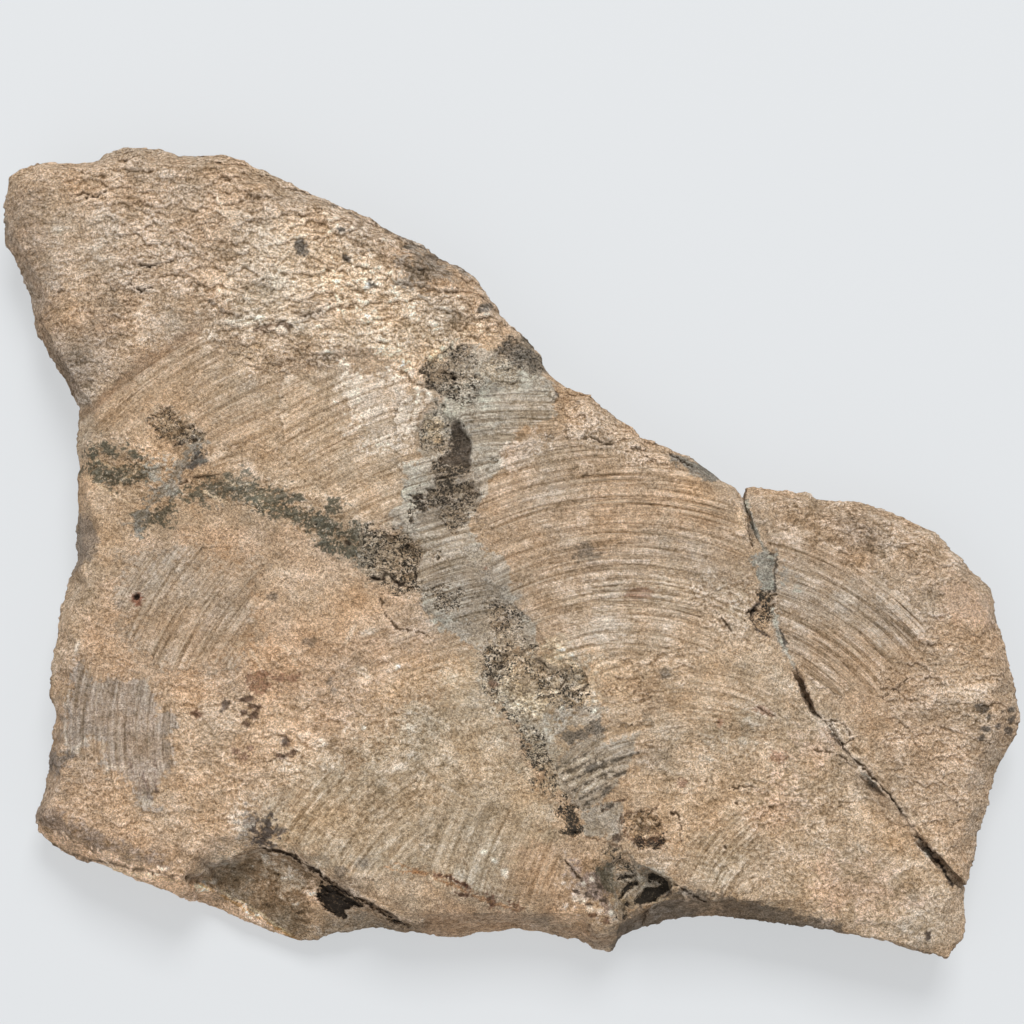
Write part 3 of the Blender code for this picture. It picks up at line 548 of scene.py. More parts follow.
        (438, 284), (424, 290), (408, 282)]),
    ((188, 156, 129), 0.5, 10, 3.0, [(815, 862), (870, 866), (908, 898), (862, 916), (815, 898)]),
    ((188, 157, 130), 0.45, 8, 3.0, [(764, 786), (802, 796), (796, 832), (758, 822)]),
    ((186, 156, 130), 0.45, 8, 3.0, [(800, 730), (830, 745), (818, 770), (790, 758)]),
    ((172, 154, 128), 0.45, 9, 3.0, [(690, 846), (730, 818), (752, 848), (722, 886), (694, 880)]),
    ((158, 145, 124), 0.45, 8, 3.0, [(700, 726), (742, 716), (756, 742), (716, 752)]),
    ((118, 96, 72), 0.5, 4, 3.5, [(625, 680), (655, 682), (656, 700), (630, 700)]),
]

# painted lines: colour, how solid, width, then each line's points
lines = [
    ((200, 178, 148), 0.8, 1.8, [(85, 476), (100, 486), (116, 496), (127, 503)]),
    ((198, 178, 150), 0.7, 1.5, [(120, 482), (134, 472), (148, 462)]),
    ((204, 184, 154), 0.8, 1.8, [(203, 491), (214, 496), (229, 504)]),
    ((198, 178, 148), 0.7, 1.4, [(222, 478), (236, 486), (250, 484)]),
    ((198, 178, 148), 0.6, 1.6, [(95, 458), (112, 466), (130, 470)]),
    ((152, 146, 134), 0.95, 3.2, [(746, 502), (750, 515), (756, 532), (764, 552)]),
    ((160, 154, 143), 0.95, 4.0, [(772, 609), (777, 628), (784, 648)]),
    ((170, 163, 150), 0.8, 2.2, [(784, 648), (790, 658), (796, 668)]),
    ((190, 183, 170), 0.85, 3.0, [(860, 768), (868, 778), (878, 786), (884, 792)]),
    ((186, 178, 166), 0.85, 3.4, [(919, 842), (924, 848), (930, 854)]),
    ((222, 208, 188), 0.7, 2.6, [(228, 320), (238, 324), (250, 322), (264, 318)]),
    ((212, 192, 168), 0.6, 2.2, [(230, 331), (246, 332), (262, 328)]),
    ((216, 202, 186), 0.7, 1.6, [(69, 690), (65, 706), (64, 722), (66, 738), (70, 750)]),
    ((210, 196, 180), 0.6, 1.6, [(70, 752), (80, 744), (92, 738), (99, 738)]),
    ((206, 192, 176), 0.6, 1.6, [(104, 768), (116, 766), (124, 772)]),
    ((94, 78, 70), 0.6, 2.2, [(142, 772), (146, 786), (152, 800)]),
    ((102, 84, 73), 0.7, 1.4, [(131, 762), (136, 780), (141, 800)]),
    ((96, 78, 68), 0.7, 1.4, [(154, 758), (156, 774), (157, 792)]),
    ((204, 186, 146), 0.6, 1.6, [(222, 892), (245, 904), (266, 917), (290, 934)]),
    ((176, 130, 74), 0.6, 1.4, [(199, 883), (228, 899), (253, 914), (276, 927), (297, 940)]),
    ((178, 154, 128), 0.8, 2.6, [(319, 876), (316, 892), (313, 908), (314, 920)]),
    ((186, 130, 84), 0.6, 1.6, [(385, 868), (400, 871), (418, 872)]),
    ((150, 106, 72), 0.6, 4.6, [(434, 873), (446, 877), (458, 882), (472, 889)]),
    ((76, 48, 33), 0.9, 2.4, [(434, 874), (442, 875), (452, 879)]),
    ((70, 43, 29), 0.95, 3.4, [(448, 878), (458, 882), (470, 888)]),
    ((86, 56, 39), 0.85, 2.0, [(455, 893), (463, 894), (473, 897)]),
    ((150, 104, 66), 0.55, 1.8, [(396, 862), (420, 872), (450, 884), (480, 898), (520, 911)]),
    ((176, 158, 128), 0.8, 1.8, [(642, 880), (645, 888), (643, 898)]),
    ((172, 152, 122), 0.8, 1.6, [(612, 900), (626, 900), (642, 896), (652, 902), (668, 899)]),
    ((62, 54, 45), 0.8, 1.6, [(769, 553), (776, 556), (776, 570), (774, 592)]),
    ((62, 52, 44), 0.85, 1.8, [(757, 603), (752, 609), (751, 617), (755, 626), (762, 633), (770, 636)]),
    ((60, 52, 44), 0.8, 1.5, [(781, 630), (785, 640), (785, 648)]),
    # painted shadow along the slab's upper back edge
    ((84, 72, 60), 0.75, 2.4, [(420, 256), (438, 258), (452, 263), (464, 270)]),
    ((88, 76, 63), 0.75, 2.2, [(332, 205), (345, 208), (358, 217)]),
    ((88, 76, 63), 0.75, 2.0, [(366, 216), (378, 222), (390, 232)]),
    ((88, 76, 63), 0.7, 2.0, [(398, 236), (412, 243), (426, 251)]),
    ((172, 166, 155), 0.7, 1.2, [(756, 562), (765, 567), (774, 573)], [(757, 570), (765, 575), (774, 581)]),
    ((172, 166, 155), 0.6, 1.2, [(760, 579), (767, 583), (773, 588)]),
    # painted shadow line above the lower-left lip
    ((98, 81, 63), 0.8, 1.5, [(37, 832), (52, 844), (70, 853), (95, 860), (120, 865), (150, 871),
        (179, 876), (201, 880)]),
    ((206, 182, 148), 0.7, 1.8, [(40, 838), (54, 849), (72, 858), (96, 865), (120, 870), (150, 876),
        (178, 881)]),
    # painted shadow under the overhang at the top
    ((110, 88, 68), 0.8, 3.2, [(255, 331), (266, 327), (278, 325), (292, 327)]),
    # painted shade in the open crack at the lower right
    ((40, 33, 27), 0.9, 2.4, [(922, 846), (932, 856), (942, 868), (953, 884)]),
    ((204, 194, 182), 0.85, 3.2, [(918, 842), (924, 850), (930, 857)]),
    ((40, 33, 27), 0.85, 1.4, [(917, 838), (926, 844), (935, 854)]),
    ((78, 60, 46), 0.85, 1.8, [(600, 809), (606, 811), (612, 806), (618, 802), (623, 800)]),
    ((78, 60, 46), 0.8, 1.5, [(606, 811), (604, 805), (599, 803)]),
    ((86, 64, 48), 0.8, 1.6, [(622, 817), (623, 829), (629, 838), (640, 842), (652, 843)]),
    ((86, 64, 48), 0.75, 1.4, [(627, 813), (640, 811), (650, 812), (656, 808)]),
    ((86, 64, 48), 0.7, 1.4, [(646, 826), (655, 834), (665, 836)]),
    ((92, 72, 54), 0.7, 1.8, [(586, 836), (600, 841), (612, 843), (622, 848)]),
    ((84, 76, 64), 0.9, 1.4, [(558, 768), (574, 759), (588, 753)], [(560, 776), (580, 765), (597, 757)],
        [(566, 783), (586, 773), (606, 765)], [(572, 791), (592, 780), (612, 771)], [(579, 798), (596, 789),
        (609, 783)]),
    ((84, 76, 64), 0.85, 1.3, [(585, 804), (600, 796), (611, 791)]),
    ((196, 186, 168), 0.85, 1.4, [(559, 772), (577, 762), (592, 755)], [(563, 780), (583, 769), (601, 761)],
        [(569, 787), (589, 777), (609, 768)], [(575, 795), (594, 785), (611, 777)]),
    ((210, 194, 174), 0.7, 1.6, [(251, 650), (257, 661), (263, 672)]),
    ((210, 194, 174), 0.6, 1.6, [(283, 646), (290, 654), (296, 665)]),
    ((196, 180, 156), 0.5, 2.0, [(268, 838), (285, 846), (305, 855), (328, 868)]),
]

# single marks: colour, how solid, then places as (across, down, half length, half width, turn)
marks = [
    ((92, 84, 74), 0.9, (300, 244, 7, 6, 20), (303, 252, 6, 5, 0), (341, 229, 6, 3, 0), (410, 247, 7, 3, 0),
        (372, 285, 6, 4, 10), (485, 308, 7, 5, 0), (347, 258, 6, 3, 30)),
    ((92, 82, 72), 0.85, (981, 708, 7, 5, 10), (989, 717, 3, 3, 0), (1003, 711, 3, 2, 0),
        (985, 729, 5, 3, 0), (998, 725, 4, 3, 20), (1009, 730, 5, 4, 30), (1013, 720, 4, 3, 0),
        (982, 738, 4, 3, 0)),
    ((88, 68, 54), 0.85, (247, 699, 8, 4, 0), (251, 707, 5, 3, 0), (243, 713, 4, 3, 0), (254, 716, 5, 4, 0),
        (247, 725, 4, 4, 0), (258, 708, 3, 3, 0), (285, 742, 4, 6, 0), (282, 756, 6, 3, 0),
        (292, 752, 4, 3, 0), (224, 706, 4, 6, 30)),
    ((124, 98, 82), 0.7, (236, 750, 6, 4, 10), (245, 757, 5, 4, 0), (250, 748, 3, 3, 0)),
    ((112, 104, 95), 0.5, (212, 303, 4, 3, 20), (222, 310, 3, 2, 0), (585, 552, 12, 9, 0),
        (665, 674, 6, 5, 0), (273, 597, 6, 5, 0), (310, 642, 6, 5, 0), (331, 682, 3, 5, 20),
        (334, 691, 3, 5, 0), (284, 741, 3, 4, 0), (361, 863, 8, 6, 0), (341, 871, 8, 5, 0),
        (223, 707, 3, 6, 30), (120, 604, 4, 4, 0)),
    ((120, 76, 56), 0.8, (137, 600, 5, 7, -20)),
    ((100, 74, 56), 0.8, (198, 714, 6, 4, 15), (466, 895, 7, 3, 5), (640, 839, 6, 3, 20),
        (656, 840, 7, 4, 20), (495, 683, 6, 4, 30), (592, 916, 4, 3, 0), (606, 921, 4, 3, 0)),
    ((72, 60, 50), 0.85, (587, 895, 2, 3, 0), (596, 896, 4, 4, 0), (604, 901, 4, 3, 0),
        (577, 892, 4, 3, 30), (588, 905, 3, 2, 0), (617, 838, 6, 5, 0), (600, 887, 3, 3, 0),
        (929, 935, 3, 5, 0)),
    ((204, 182, 156), 0.7, (636, 824, 6, 4, 20), (645, 835, 5, 3, 0), (653, 821, 5, 4, 30),
        (630, 832, 4, 3, 0)),
    ((222, 212, 198), 0.75, (582, 901, 4, 3, 0), (590, 910, 4, 3, 20), (575, 899, 3, 3, 0),
        (611, 913, 3, 4, 0), (584, 884, 3, 3, 0), (600, 911, 3, 2, 0), (592, 880, 3, 3, 0)),
    ((132, 96, 74), 0.55, (779, 755, 9, 6, 10), (681, 782, 5, 4, 0), (640, 594, 20, 6, -8),
        (764, 710, 10, 4, 25), (720, 722, 4, 6, 20), (486, 568, 2, 2, 0)),
    ((214, 200, 182), 0.6, (396, 667, 3, 3, 0), (364, 728, 3, 3, 0), (76, 648, 2, 6, 15),
        (76, 750, 4, 5, 0), (107, 771, 3, 5, 30), (103, 746, 2, 6, 0), (145, 803, 9, 5, 0),
        (122, 767, 6, 2, 0), (240, 644, 5, 3, -20), (349, 635, 3, 11, 30), (370, 632, 10, 4, -20),
        (362, 672, 10, 6, 30), (452, 791, 22, 2, 27), (395, 768, 14, 5, -10), (60, 230, 9, 5, 0),
        (949, 617, 3, 3, 0), (225, 322, 20, 5, -10), (396, 522, 6, 4, 0)),
    ((236, 230, 220), 0.85, (483, 853, 4, 3, 0), (494, 861, 4, 3, 0), (505, 873, 4, 4, 0),
        (364, 728, 3, 2, 0), (398, 666, 2, 2, 0)),
    ((80, 74, 66), 0.75, (591, 767, 9, 4, -25), (616, 759, 10, 2, -15), (632, 754, 7, 1.6, -15),
        (617, 775, 13, 1.8, -20), (610, 806, 8, 3, -20), (607, 789, 6, 2, -40), (1013, 709, 4, 3, 0),
        (556, 394, 2, 4, -20)),
]

# speckled clusters on the rock: across, down, half width, half height
freckles = [
    (250, 711, 11, 17), (242, 755, 12, 10), (279, 757, 8, 8), (180, 432, 26, 18), (640, 690, 16, 12),
    (420, 268, 22, 11), (650, 822, 26, 14), (980, 715, 22, 18), (720, 725, 26, 14), (590, 470, 30, 14),
]

# wider places where the top is paler or darker: how many times paler or darker, middle, half length, half
# width, turn
paleDarkPlaces = [
    (0.82, 92, 345, 62, 30, -65), (1.22, 598, 664, 15, 16, 0), (1.2, 588, 694, 13, 15, 0),
    (0.86, 232, 245, 52, 30, -80), (0.86, 314, 310, 26, 20, 0), (0.86, 444, 310, 26, 20, 30),
    (1.25, 262, 499, 18, 11, 15), (0.81, 858, 534, 30, 22, 20), (1.22, 284, 838, 15, 12, 0),
    (0.82, 394, 518, 15, 12, 30), (1.22, 438, 356, 12, 10, 0), (0.83, 586, 886, 18, 14, 0),
    (0.8, 346, 886, 20, 9, 28), (0.84, 490, 391, 18, 10, -20), (0.82, 878, 792, 58, 16, 45),
    (1.16, 250, 358, 26, 15, -15), (1.16, 392, 358, 26, 15, 10), (1.16, 458, 678, 18, 26, 0),
    (0.86, 650, 758, 24, 16, 0), (1.17, 668, 582, 26, 20, 0), (1.2, 568, 918, 20, 9, 10),
    (1.28, 203, 886, 14, 9, 30), (1.18, 742, 518, 9, 20, 0), (1.15, 396, 680, 46, 24, -10),
    (1.15, 968, 688, 26, 34, 0), (1.14, 622, 684, 14, 16, 0), (1.22, 234, 853, 14, 10, 0),
    (1.12, 694, 488, 26, 14, 10), (1.2, 522, 903, 18, 9, 5), (0.88, 348, 234, 24, 16, 30),
    (0.9, 264, 282, 20, 14, 0), (0.89, 922, 900, 26, 12, 20), (1.11, 218, 390, 22, 13, -20),
]

# where the stone is more blotched: how much, outline
blotches = [
    (0.16, [(197, 880), (240, 852), (262, 846), (325, 872), (316, 930), (300, 942), (250, 910)]),
    (0.1, [(478, 645), (545, 650), (592, 665), (594, 710), (560, 740), (520, 740), (490, 700)]),
    (0.09, [(30, 806), (80, 822), (200, 870), (190, 884), (30, 836)]),
    (0.08, [(760, 490), (900, 505), (960, 560), (900, 570), (780, 545)]),
    (0.1, [(572, 850), (640, 846), (690, 884), (680, 915), (610, 930), (570, 925)]),
    (0.07, [(330, 205), (420, 240), (520, 335), (430, 350), (320, 300)]),
    (0.08, [(90, 440), (210, 440), (370, 520), (360, 560), (250, 515), (90, 485)]),
    (0.03, [(220, 740), (340, 740), (440, 690), (480, 780), (330, 860), (240, 840)]),
    (0.08, [(318, 874), (420, 925), (318, 944)]),
    (0.03, [(640, 740), (780, 700), (900, 740), (950, 880), (930, 950), (700, 890)]),
    (0.02, [(300, 700), (440, 690), (540, 840), (330, 860)]),
]

# cracks and slits in the top, cut in and painted dark as shade, the deeper the darker: width, depth in mm,
# points
cracks = [
    (1.2, 0.7, [(380, 598), (388, 616), (397, 629), (412, 631), (429, 634)]),
    (2.0, 1.8, [(373, 577), (383, 581), (385, 572), (393, 579), (400, 584), (404, 580)]),
    (1.8, 1.6, [(414, 570), (416, 581)]),
    (1.4, 1.2, [(565, 860), (571, 868), (578, 877), (584, 881)]),
    (1.2, 0.9, [(715, 611), (723, 620), (732, 631)]),
    (1.0, 0.4, [(754, 705), (764, 711), (775, 715)]),
    (1.1, 0.6, [(814, 749), (826, 750), (840, 756), (852, 766)]),
    (1.5, 1.4, [(810, 710), (819, 717), (827, 723), (834, 733), (841, 742), (848, 752)]),
    (1.1, 0.9, [(828, 722), (838, 721), (846, 727), (852, 736)]),
    (1.1, 0.9, [(838, 741), (846, 744), (852, 738)]),
    (1.6, 1.4, [(848, 752), (858, 762), (870, 773), (882, 786)]),
    (1.7, 1.6, [(882, 786), (892, 800), (902, 814), (912, 828), (920, 840)]),
    (1.0, 0.8, [(729, 789), (742, 786), (756, 787)]),
    (1.1, 0.8, [(581, 439), (592, 437), (604, 443), (612, 444)]),
    (1.1, 0.8, [(646, 457), (654, 462)]),
    (1.3, 1.0, [(178, 485), (186, 481), (192, 484)]),
    (1.3, 1.0, [(183, 468), (190, 462), (197, 458)]),
    (1.5, 0.9, [(256, 329), (264, 325), (274, 323), (286, 323)]),
    (1.6, 1.3, [(138, 263), (148, 266), (158, 263)]),
    (1.4, 1.2, [(128, 284), (140, 290), (150, 288)]),
    (1.6, 1.3, [(84, 196), (96, 197), (104, 192)]),
    (1.3, 1.0, [(300, 316), (315, 312), (330, 304)]),
    (1.2, 1.0, [(72, 196), (84, 192), (96, 196)]),
    (1.2, 1.0, [(674, 883), (688, 891), (704, 902)]),
    (1.2, 1.0, [(488, 677), (494, 679), (500, 686), (496, 689)]),
    (1.3, 1.2, [(498, 662), (505, 660), (509, 664), (503, 668), (498, 662)]),
    (1.5, 1.4, [(536, 658), (544, 662), (546, 668), (552, 668)]),
    (1.3, 1.2, [(558, 690), (564, 684), (566, 676)]),
    (1.3, 1.2, [(572, 696), (580, 690), (588, 686)]),
    (2.2, 1.8, [(263, 848), (290, 855), (320, 873)]),
    (2.4, 2.6, [(320, 875), (339, 888), (362, 900), (387, 913), (410, 926)]),
    (1.1, 0.9, [(743, 491), (745, 502), (747, 514)]),
    (1.1, 0.7, [(748, 525), (750, 536), (753, 547)]),
    (1.3, 1.0, [(805, 696), (810, 704), (815, 714)]),
    (0.9, 0.6, [(830, 722), (840, 738), (850, 757)]),
    (1.2, 0.6, [(906, 679), (896, 688), (884, 697)]),
    (1.6, 1.2, [(668, 453), (680, 461), (692, 466)]),
    (1.1, 0.8, [(622, 814), (618, 826), (621, 838)]),
    (1.1, 0.8, [(674, 808), (680, 822), (681, 841)]),
]

# small holes, cut in and painted dark as shade: across, down, size, depth in mm
holes = [
    (137, 597, 3.0, 2.0), (453, 376, 4.2, 2.0), (447, 371, 2.6, 1.4), (348, 543, 3.4, 1.2),
    (394, 528, 2.2, 1.0), (316, 524, 2.2, 1.6), (481, 450, 1.6, 1.6), (478, 470, 1.3, 1.3),
    (174, 444, 3.0, 1.0), (194, 440, 3.4, 1.2), (163, 436, 2.0, 0.8), (737, 803, 2.4, 1.0),
    (725, 847, 2.4, 1.0), (672, 813, 3.0, 1.4), (706, 782, 2.0, 0.9),
]

# crests that stand over the rock round them: height in mm, width, points
ridges = [
    (0.85, 5, [(228, 322), (240, 324), (252, 321), (266, 317), (282, 318)]),
    (0.6, 5, [(203, 447), (194, 458), (182, 474), (168, 494), (150, 512), (137, 524)]),
    (0.6, 4, [(540, 654), (556, 656), (576, 666)]),
    (0.5, 4, [(322, 876), (344, 886), (370, 900), (396, 914), (416, 924)]),
    (0.5, 5, [(488, 380), (482, 396), (474, 408)]),
    (0.5, 7, [(300, 244), (303, 252)]),
    (0.5, 4, [(622, 892), (636, 880), (648, 878)]),
]

# heights in mm
relief = {
    "lump": 0.30,       # the broken top: lumps, flakes, chips, stones, crumbs
    "flake": 1.15,
    "chip": 0.44,
    "bit": 0.26,
    "rock": 0.10,
    "crumb": 0.05,
    "fleck": 0.04,
    "ground": 0.042,    # what the disc left
    "band": 0.13,
    "furrow": 0.30,     # a furrow's depth where a pass is deepest
    "scratch": 0.16,
    "wall": 0.9,        # the broken edges
    "pitted": 0.8,      # how much coarser the crumbs are in a hollow
    "lift": 0.85,       # the most that the top may stand over the plain solid
}

# painted shade in the hollows and painted highlight on the crests: rounds of smoothing that find them, depth
# in mm, share
hollowShade = [(2, 0.06, 0.055), (10, 0.22, 0.065)]

# how much lighter or darker each field makes the stone
shading = {
    "patchy": 0.035,
    "lump": 0.028,
    "crumb": 0.010,
    "furrow": 0.13,     # darker in the furrows and scratches
    "crest": 0.05,      # paler between them
    "band": 0.04,
    "pinhole": 0.08,    # between the grains
    "freckle": 0.45,
    "darkest": -0.7,
}
groundTone = (174, 151, 125)
# painted shade for the steep sides
shadedSideTone = (138, 118, 97)
toneBalance = (1.032, 1.037, 1.045)   # the whole slab a little lighter than its painted colours


# where the camera sees each point, in picture steps
def intoPicture(points):
    lean = math.radians(camera["elevation"])
    ahead = np.array((0.0, math.cos(lean), -math.sin(lean)))
    upward = np.array((0.0, math.sin(lean), math.cos(lean)))
    eye = np.array(camera["target"]) - camera["distance"] * ahead
    gap = points - eye
    scale = camera["lens"] / camera["sensor"] * camera["picture"] / (gap @ ahead)
    middle = camera["picture"] / 2
    return middle + gap[:, 0] * scale, middle - (gap @ upward) * scale


def nearby(across, down, points, margin):
    low = np.min(points, axis=0) - margin
    high = np.max(points, axis=0) + margin
    return np.flatnonzero((across > low[0]) & (across < high[0]) & (down > low[1]) & (down < high[1]))


def distanceTo(points, across, down):
    best = np.full(len(across), 1e12)
    for (ax, ay), (bx, by) in zip(points, points[1:]):
        dx, dy = bx - ax, by - ay
        share = np.clip(((across - ax) * dx + (down - ay) * dy) / (dx * dx + dy * dy), 0.0, 1.0)
        best = np.minimum(best, (across - ax - share * dx) ** 2 + (down - ay - share * dy) ** 2)
    return np.sqrt(best)


# distance to the outline, more than nothing inside it
def depthIn(outline, across, down):
    closed = outline + outline[:1]
    inside = np.zeros(len(across), bool)
    for (ax, ay), (bx, by) in zip(closed, closed[1:]):
        if ay != by:
            crosses = (ay > down) != (by > down)
            inside ^= crosses & (across < (bx - ax) * (down - ay) / (by - ay) + ax)
    return np.where(inside, 1.0, -1.0) * distanceTo(closed, across, down)


# the points of one piece, with the fields that are painted on them
class Face:
    def __init__(self, piece, others):
        self.points = readVectors(piece.data.vertices, "co").astype(float)
        self.normals = readVectors(piece.data.vertex_normals, "vector").astype(float)
        self.across, self.down = intoPicture(self.points)
        self.count = len(self.points)
        for name in bodyNoise:
            setattr(self, name, evened(readField(piece, name)))
        for name in flakeNoise:
            setattr(self, name, readField(piece, name).astype(float) - 0.5)
        edges = np.empty(len(piece.data.edges) * 2, np.int32)
        piece.data.edges.foreach_get("vertices", edges)
        self.edges = edges.reshape(-1, 2)
        self.links = np.maximum(np.bincount(edges, minlength=self.count), 1)
        self.wavyAcross = self.across + 1.8 * self.bendU + 0.5 * self.fleck
        self.wavyDown = self.down + 1.8 * self.bendV + 0.5 * self.crumb
        up = self.normals[:, 2]
        self.joint = self.empty()
        reach = mesh["jointReach"]
        for index in np.flatnonzero(up < 0.85):
            found = others.find_nearest(Vector(self.points[index]), reach * 2)
            if found[0] is not None:
                self.joint[index] = 1.0 - ramp(found[3], reach, reach * 2)
        self.onTop = np.maximum(ramp(up, 0.10, 0.55), self.joint * ramp(up, 0.0, 0.2))
        self.wall = (1.0 - ramp(np.abs(up), 0.15, 0.55)) * (1.0 - self.joint)

    def empty(self):
        return np.zeros(self.count)

    def smoothed(self, values, rounds):
        for _ in range(rounds):
            total = np.bincount(self.edges[:, 0], values[self.edges[:, 1]], self.count)
            total += np.bincount(self.edges[:, 1], values[self.edges[:, 0]], self.count)
            values = 0.35 * values + 0.65 * total / self.links
        return values

    # 1 inside the outline and 0 outside it; ragged frays the border
    def zone(self, outline, soft, ragged=0.0):
        share = self.empty()
        near = nearby(self.wavyAcross, self.wavyDown, outline, soft * 2 + 14)
        depth = depthIn(outline, self.wavyAcross[near], self.wavyDown[near])
        fray = 2.0 * self.patchy[near] + 1.3 * self.rock[near] + 1.3 * self.crumb[near] + self.fleck[near]
        share[near] = ramp(depth + ragged * fray, -soft, soft)
        return share

    def line(self, points, width):
        share = self.empty()
        near = nearby(self.across, self.down, points, width * 3 + 12)
        across = self.across[near] + 0.6 * self.bendU[near] + 0.5 * self.crumb[near]
        down = self.down[near] + 0.6 * self.bendV[near] + 0.5 * self.fleck[near]
        away = distanceTo(points, across, down)
        away += width * (0.22 * self.rock[near] + 0.14 * self.crumb[near] + 0.10 * self.fleck[near])
        share[near] = 1.0 - ramp(away, width * 0.3, width)
        return share

    # an oval: half its length and width, and how many degrees it is turned
    def spot(self, across, down, long, wide, turn, soft=0.5, ragged=0.6):
        share = self.empty()
        near = nearby(self.across, self.down, [(across, down)], max(long, wide) * 1.8 + 6)
        cosine, sine = math.cos(math.radians(turn)), math.sin(math.radians(turn))
        across = self.across[near] - across + 0.4 * self.bendU[near]
        down = self.down[near] - down + 0.4 * self.bendV[near]
        away = np.hypot((across * cosine + down * sine) / long, (down * cosine - across * sine) / wide)
        away += ragged * (0.16 * self.rock[near] + 0.16 * self.crumb[near] + 0.10 * self.fleck[near])
        share[near] = 1.0 - ramp(away, 1.0 - soft, 1.0 + soft * 0.5)
        return share


def paint(field, share, value):
    field += (value - field) * share


def paintColour(tone, share, colour):
    tone += (np.array(colour) / 255 - tone) * share[:, None]


def solidsOf(names):
    points, faces = [], []
    for name in names:
        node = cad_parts[name]
        start = len(points)
        points += [vertex.co.copy() for vertex in node.data.vertices]
        faces += [[start + corner for corner in face.vertices] for face in node.data.polygons]
    return BVHTree.FromPolygons(points, faces)


# the solid's copy in small even squares, with few on the faces that never show
def fineCopy(name, cell, others):
    piece = bpy.data.objects.new(name + "_stone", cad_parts[name].data.copy())
    bpy.context.collection.objects.link(piece)
    piece.data.materials.clear()
    pickOnly(piece)
    bpy.ops.object.mode_set(mode="EDIT")
    bpy.ops.mesh.select_all(action="SELECT")
    bpy.ops.mesh.remove_doubles(threshold=0.00001)
    bpy.ops.object.mode_set(mode="OBJECT")
    spreadJoints(piece, others)
    applyModifier(piece, "REMESH", mode="VOXEL", voxel_size=cell)
    applyModifier(piece, "SMOOTH", iterations=mesh["smoothRounds"])
    thinFaces(piece, hiddenFaces(piece, others), mesh["hiddenShare"])
    return piece


# the piece's joints reach a little into its neighbours, so that the fine mesh's round rims leave no groove
def spreadJoints(piece, others):
    normals = readVectors(piece.data.vertex_normals, "vector")
    for vertex, normal in zip(piece.data.vertices, normals):
        if others.find_nearest(vertex.co, mesh["jointReach"])[0] is not None:
            outward = Vector((normal[0], normal[1], 0.0))
            if outward.length > 0.05:
                vertex.co += outward.normalized() * mesh["spread"]


def hiddenFaces(piece, others):
    normals = readVectors(piece.data.polygons, "normal")
    centres = readVectors(piece.data.polygons, "center")
    hidden = (normals[:, 2] < -0.9) & (centres[:, 2] < 0.001)
    for index in np.flatnonzero(np.abs(normals[:, 2]) < 0.4):
        hidden[index] = others.find_nearest(Vector(centres[index]), mesh["jointReach"])[0] is not None
    return hidden


def thinFaces(piece, picked, share):
    pickOnly(piece)
    bpy.ops.object.mode_set(mode="EDIT")
    bpy.ops.mesh.select_mode(type="FACE")
    bpy.ops.mesh.select_all(action="DESELECT")
    bpy.ops.object.mode_set(mode="OBJECT")
    piece.data.polygons.foreach_set("select", picked)
    bpy.ops.object.mode_set(mode="EDIT")
    bpy.ops.mesh.decimate(ratio=share)
    bpy.ops.object.mode_set(mode="OBJECT")


# nothing reaches under the face that the slab lies on
def settle(piece):
    points = readVectors(piece.data.vertices, "co")
    points[:, 2] = np.maximum(points[:, 2], 0.0)
    piece.data.vertices.foreach_set("co", points.ravel())
    piece.data.update()


# how broken the top is, how deep the disc's arcs go and how much they show
def findCuts(piece, face):
    face.rough = np.full(face.count, 0.10)
    for share, soft, outline in roughZones:
        paint(face.rough, face.zone(outline, soft, 1.0), share)
    # how far the arcs have run at each point
    cut = np.stack([face.down * stepMm, face.across * stepMm, face.empty()], 1)
    face.depth, face.show = face.empty(), face.empty()
    for order, ((centreAcross, centreDown), deep, shown, outline) in enumerate(passes.values()):
        share = face.zone(outline, 6.0, 1.5)
        across, down = face.across - centreAcross, face.down - centreDown
        radius = np.hypot(across, down) * stepMm
        turned = np.arctan2(across, -down) * 300 * stepMm
        arcs = np.stack([radius, turned, np.full(face.count, order * 9.0)], 1)
        taken = share > 0.5
        cut[taken] = arcs[taken]
        paint(face.depth, share, deep)
        paint(face.show, share, shown)
    broken = 0.6 + 0.4 * ramp(face.patchy + 0.4 * face.rock, -1.2, 0.6)
    left = (1.0 - 0.85 * ramp(face.rough, 0.3, 0.9)) * broken
    face.depth *= left
    face.show *= left
    storeField(piece, "cut", cut, "FLOAT_VECTOR")
    applyModifier(piece, "NODES", node_group=cutNoiseTree)
    for name in cutNoise:
        setattr(face, name, evened(readField(piece, name)))


def findHollows(face):
    face.dark, face.sink = face.empty(), face.empty()
    face.crack, face.crackDepth = face.empty(), face.empty()
    for darkness, deep, outline in cavities.values():
        share = face.zone(outline, 1.2, 0.4) if darkness == 1.0 else face.zone(outline, 2.6, 1.0)
        face.dark = np.maximum(face.dark, share * darkness)
        face.sink = np.maximum(face.sink, share * deep)
    # the dark crumbs lie in clusters
    clusters = (0.10 * face.patchy + 0.10 * face.rock) * (face.dark < 0.95)
    face.dark = np.clip(face.dark * (1.0 + clusters), 0.0, 1.0)
    for width, deep, points in cracks:
        cutSlit(face, face.line(points, width), deep)
    for across, down, size, deep in holes:
        cutSlit(face, face.spot(across, down, size, size * 0.8, 20, 0.4, 0.4), deep)


# a slit or hole: cut into the top, and painted dark as shade
def cutSlit(face, share, deep):
    face.crack = np.maximum(face.crack, share * min(1.0, 0.25 + 0.4 * deep))
    face.crackDepth = np.maximum(face.crackDepth, share * deep)


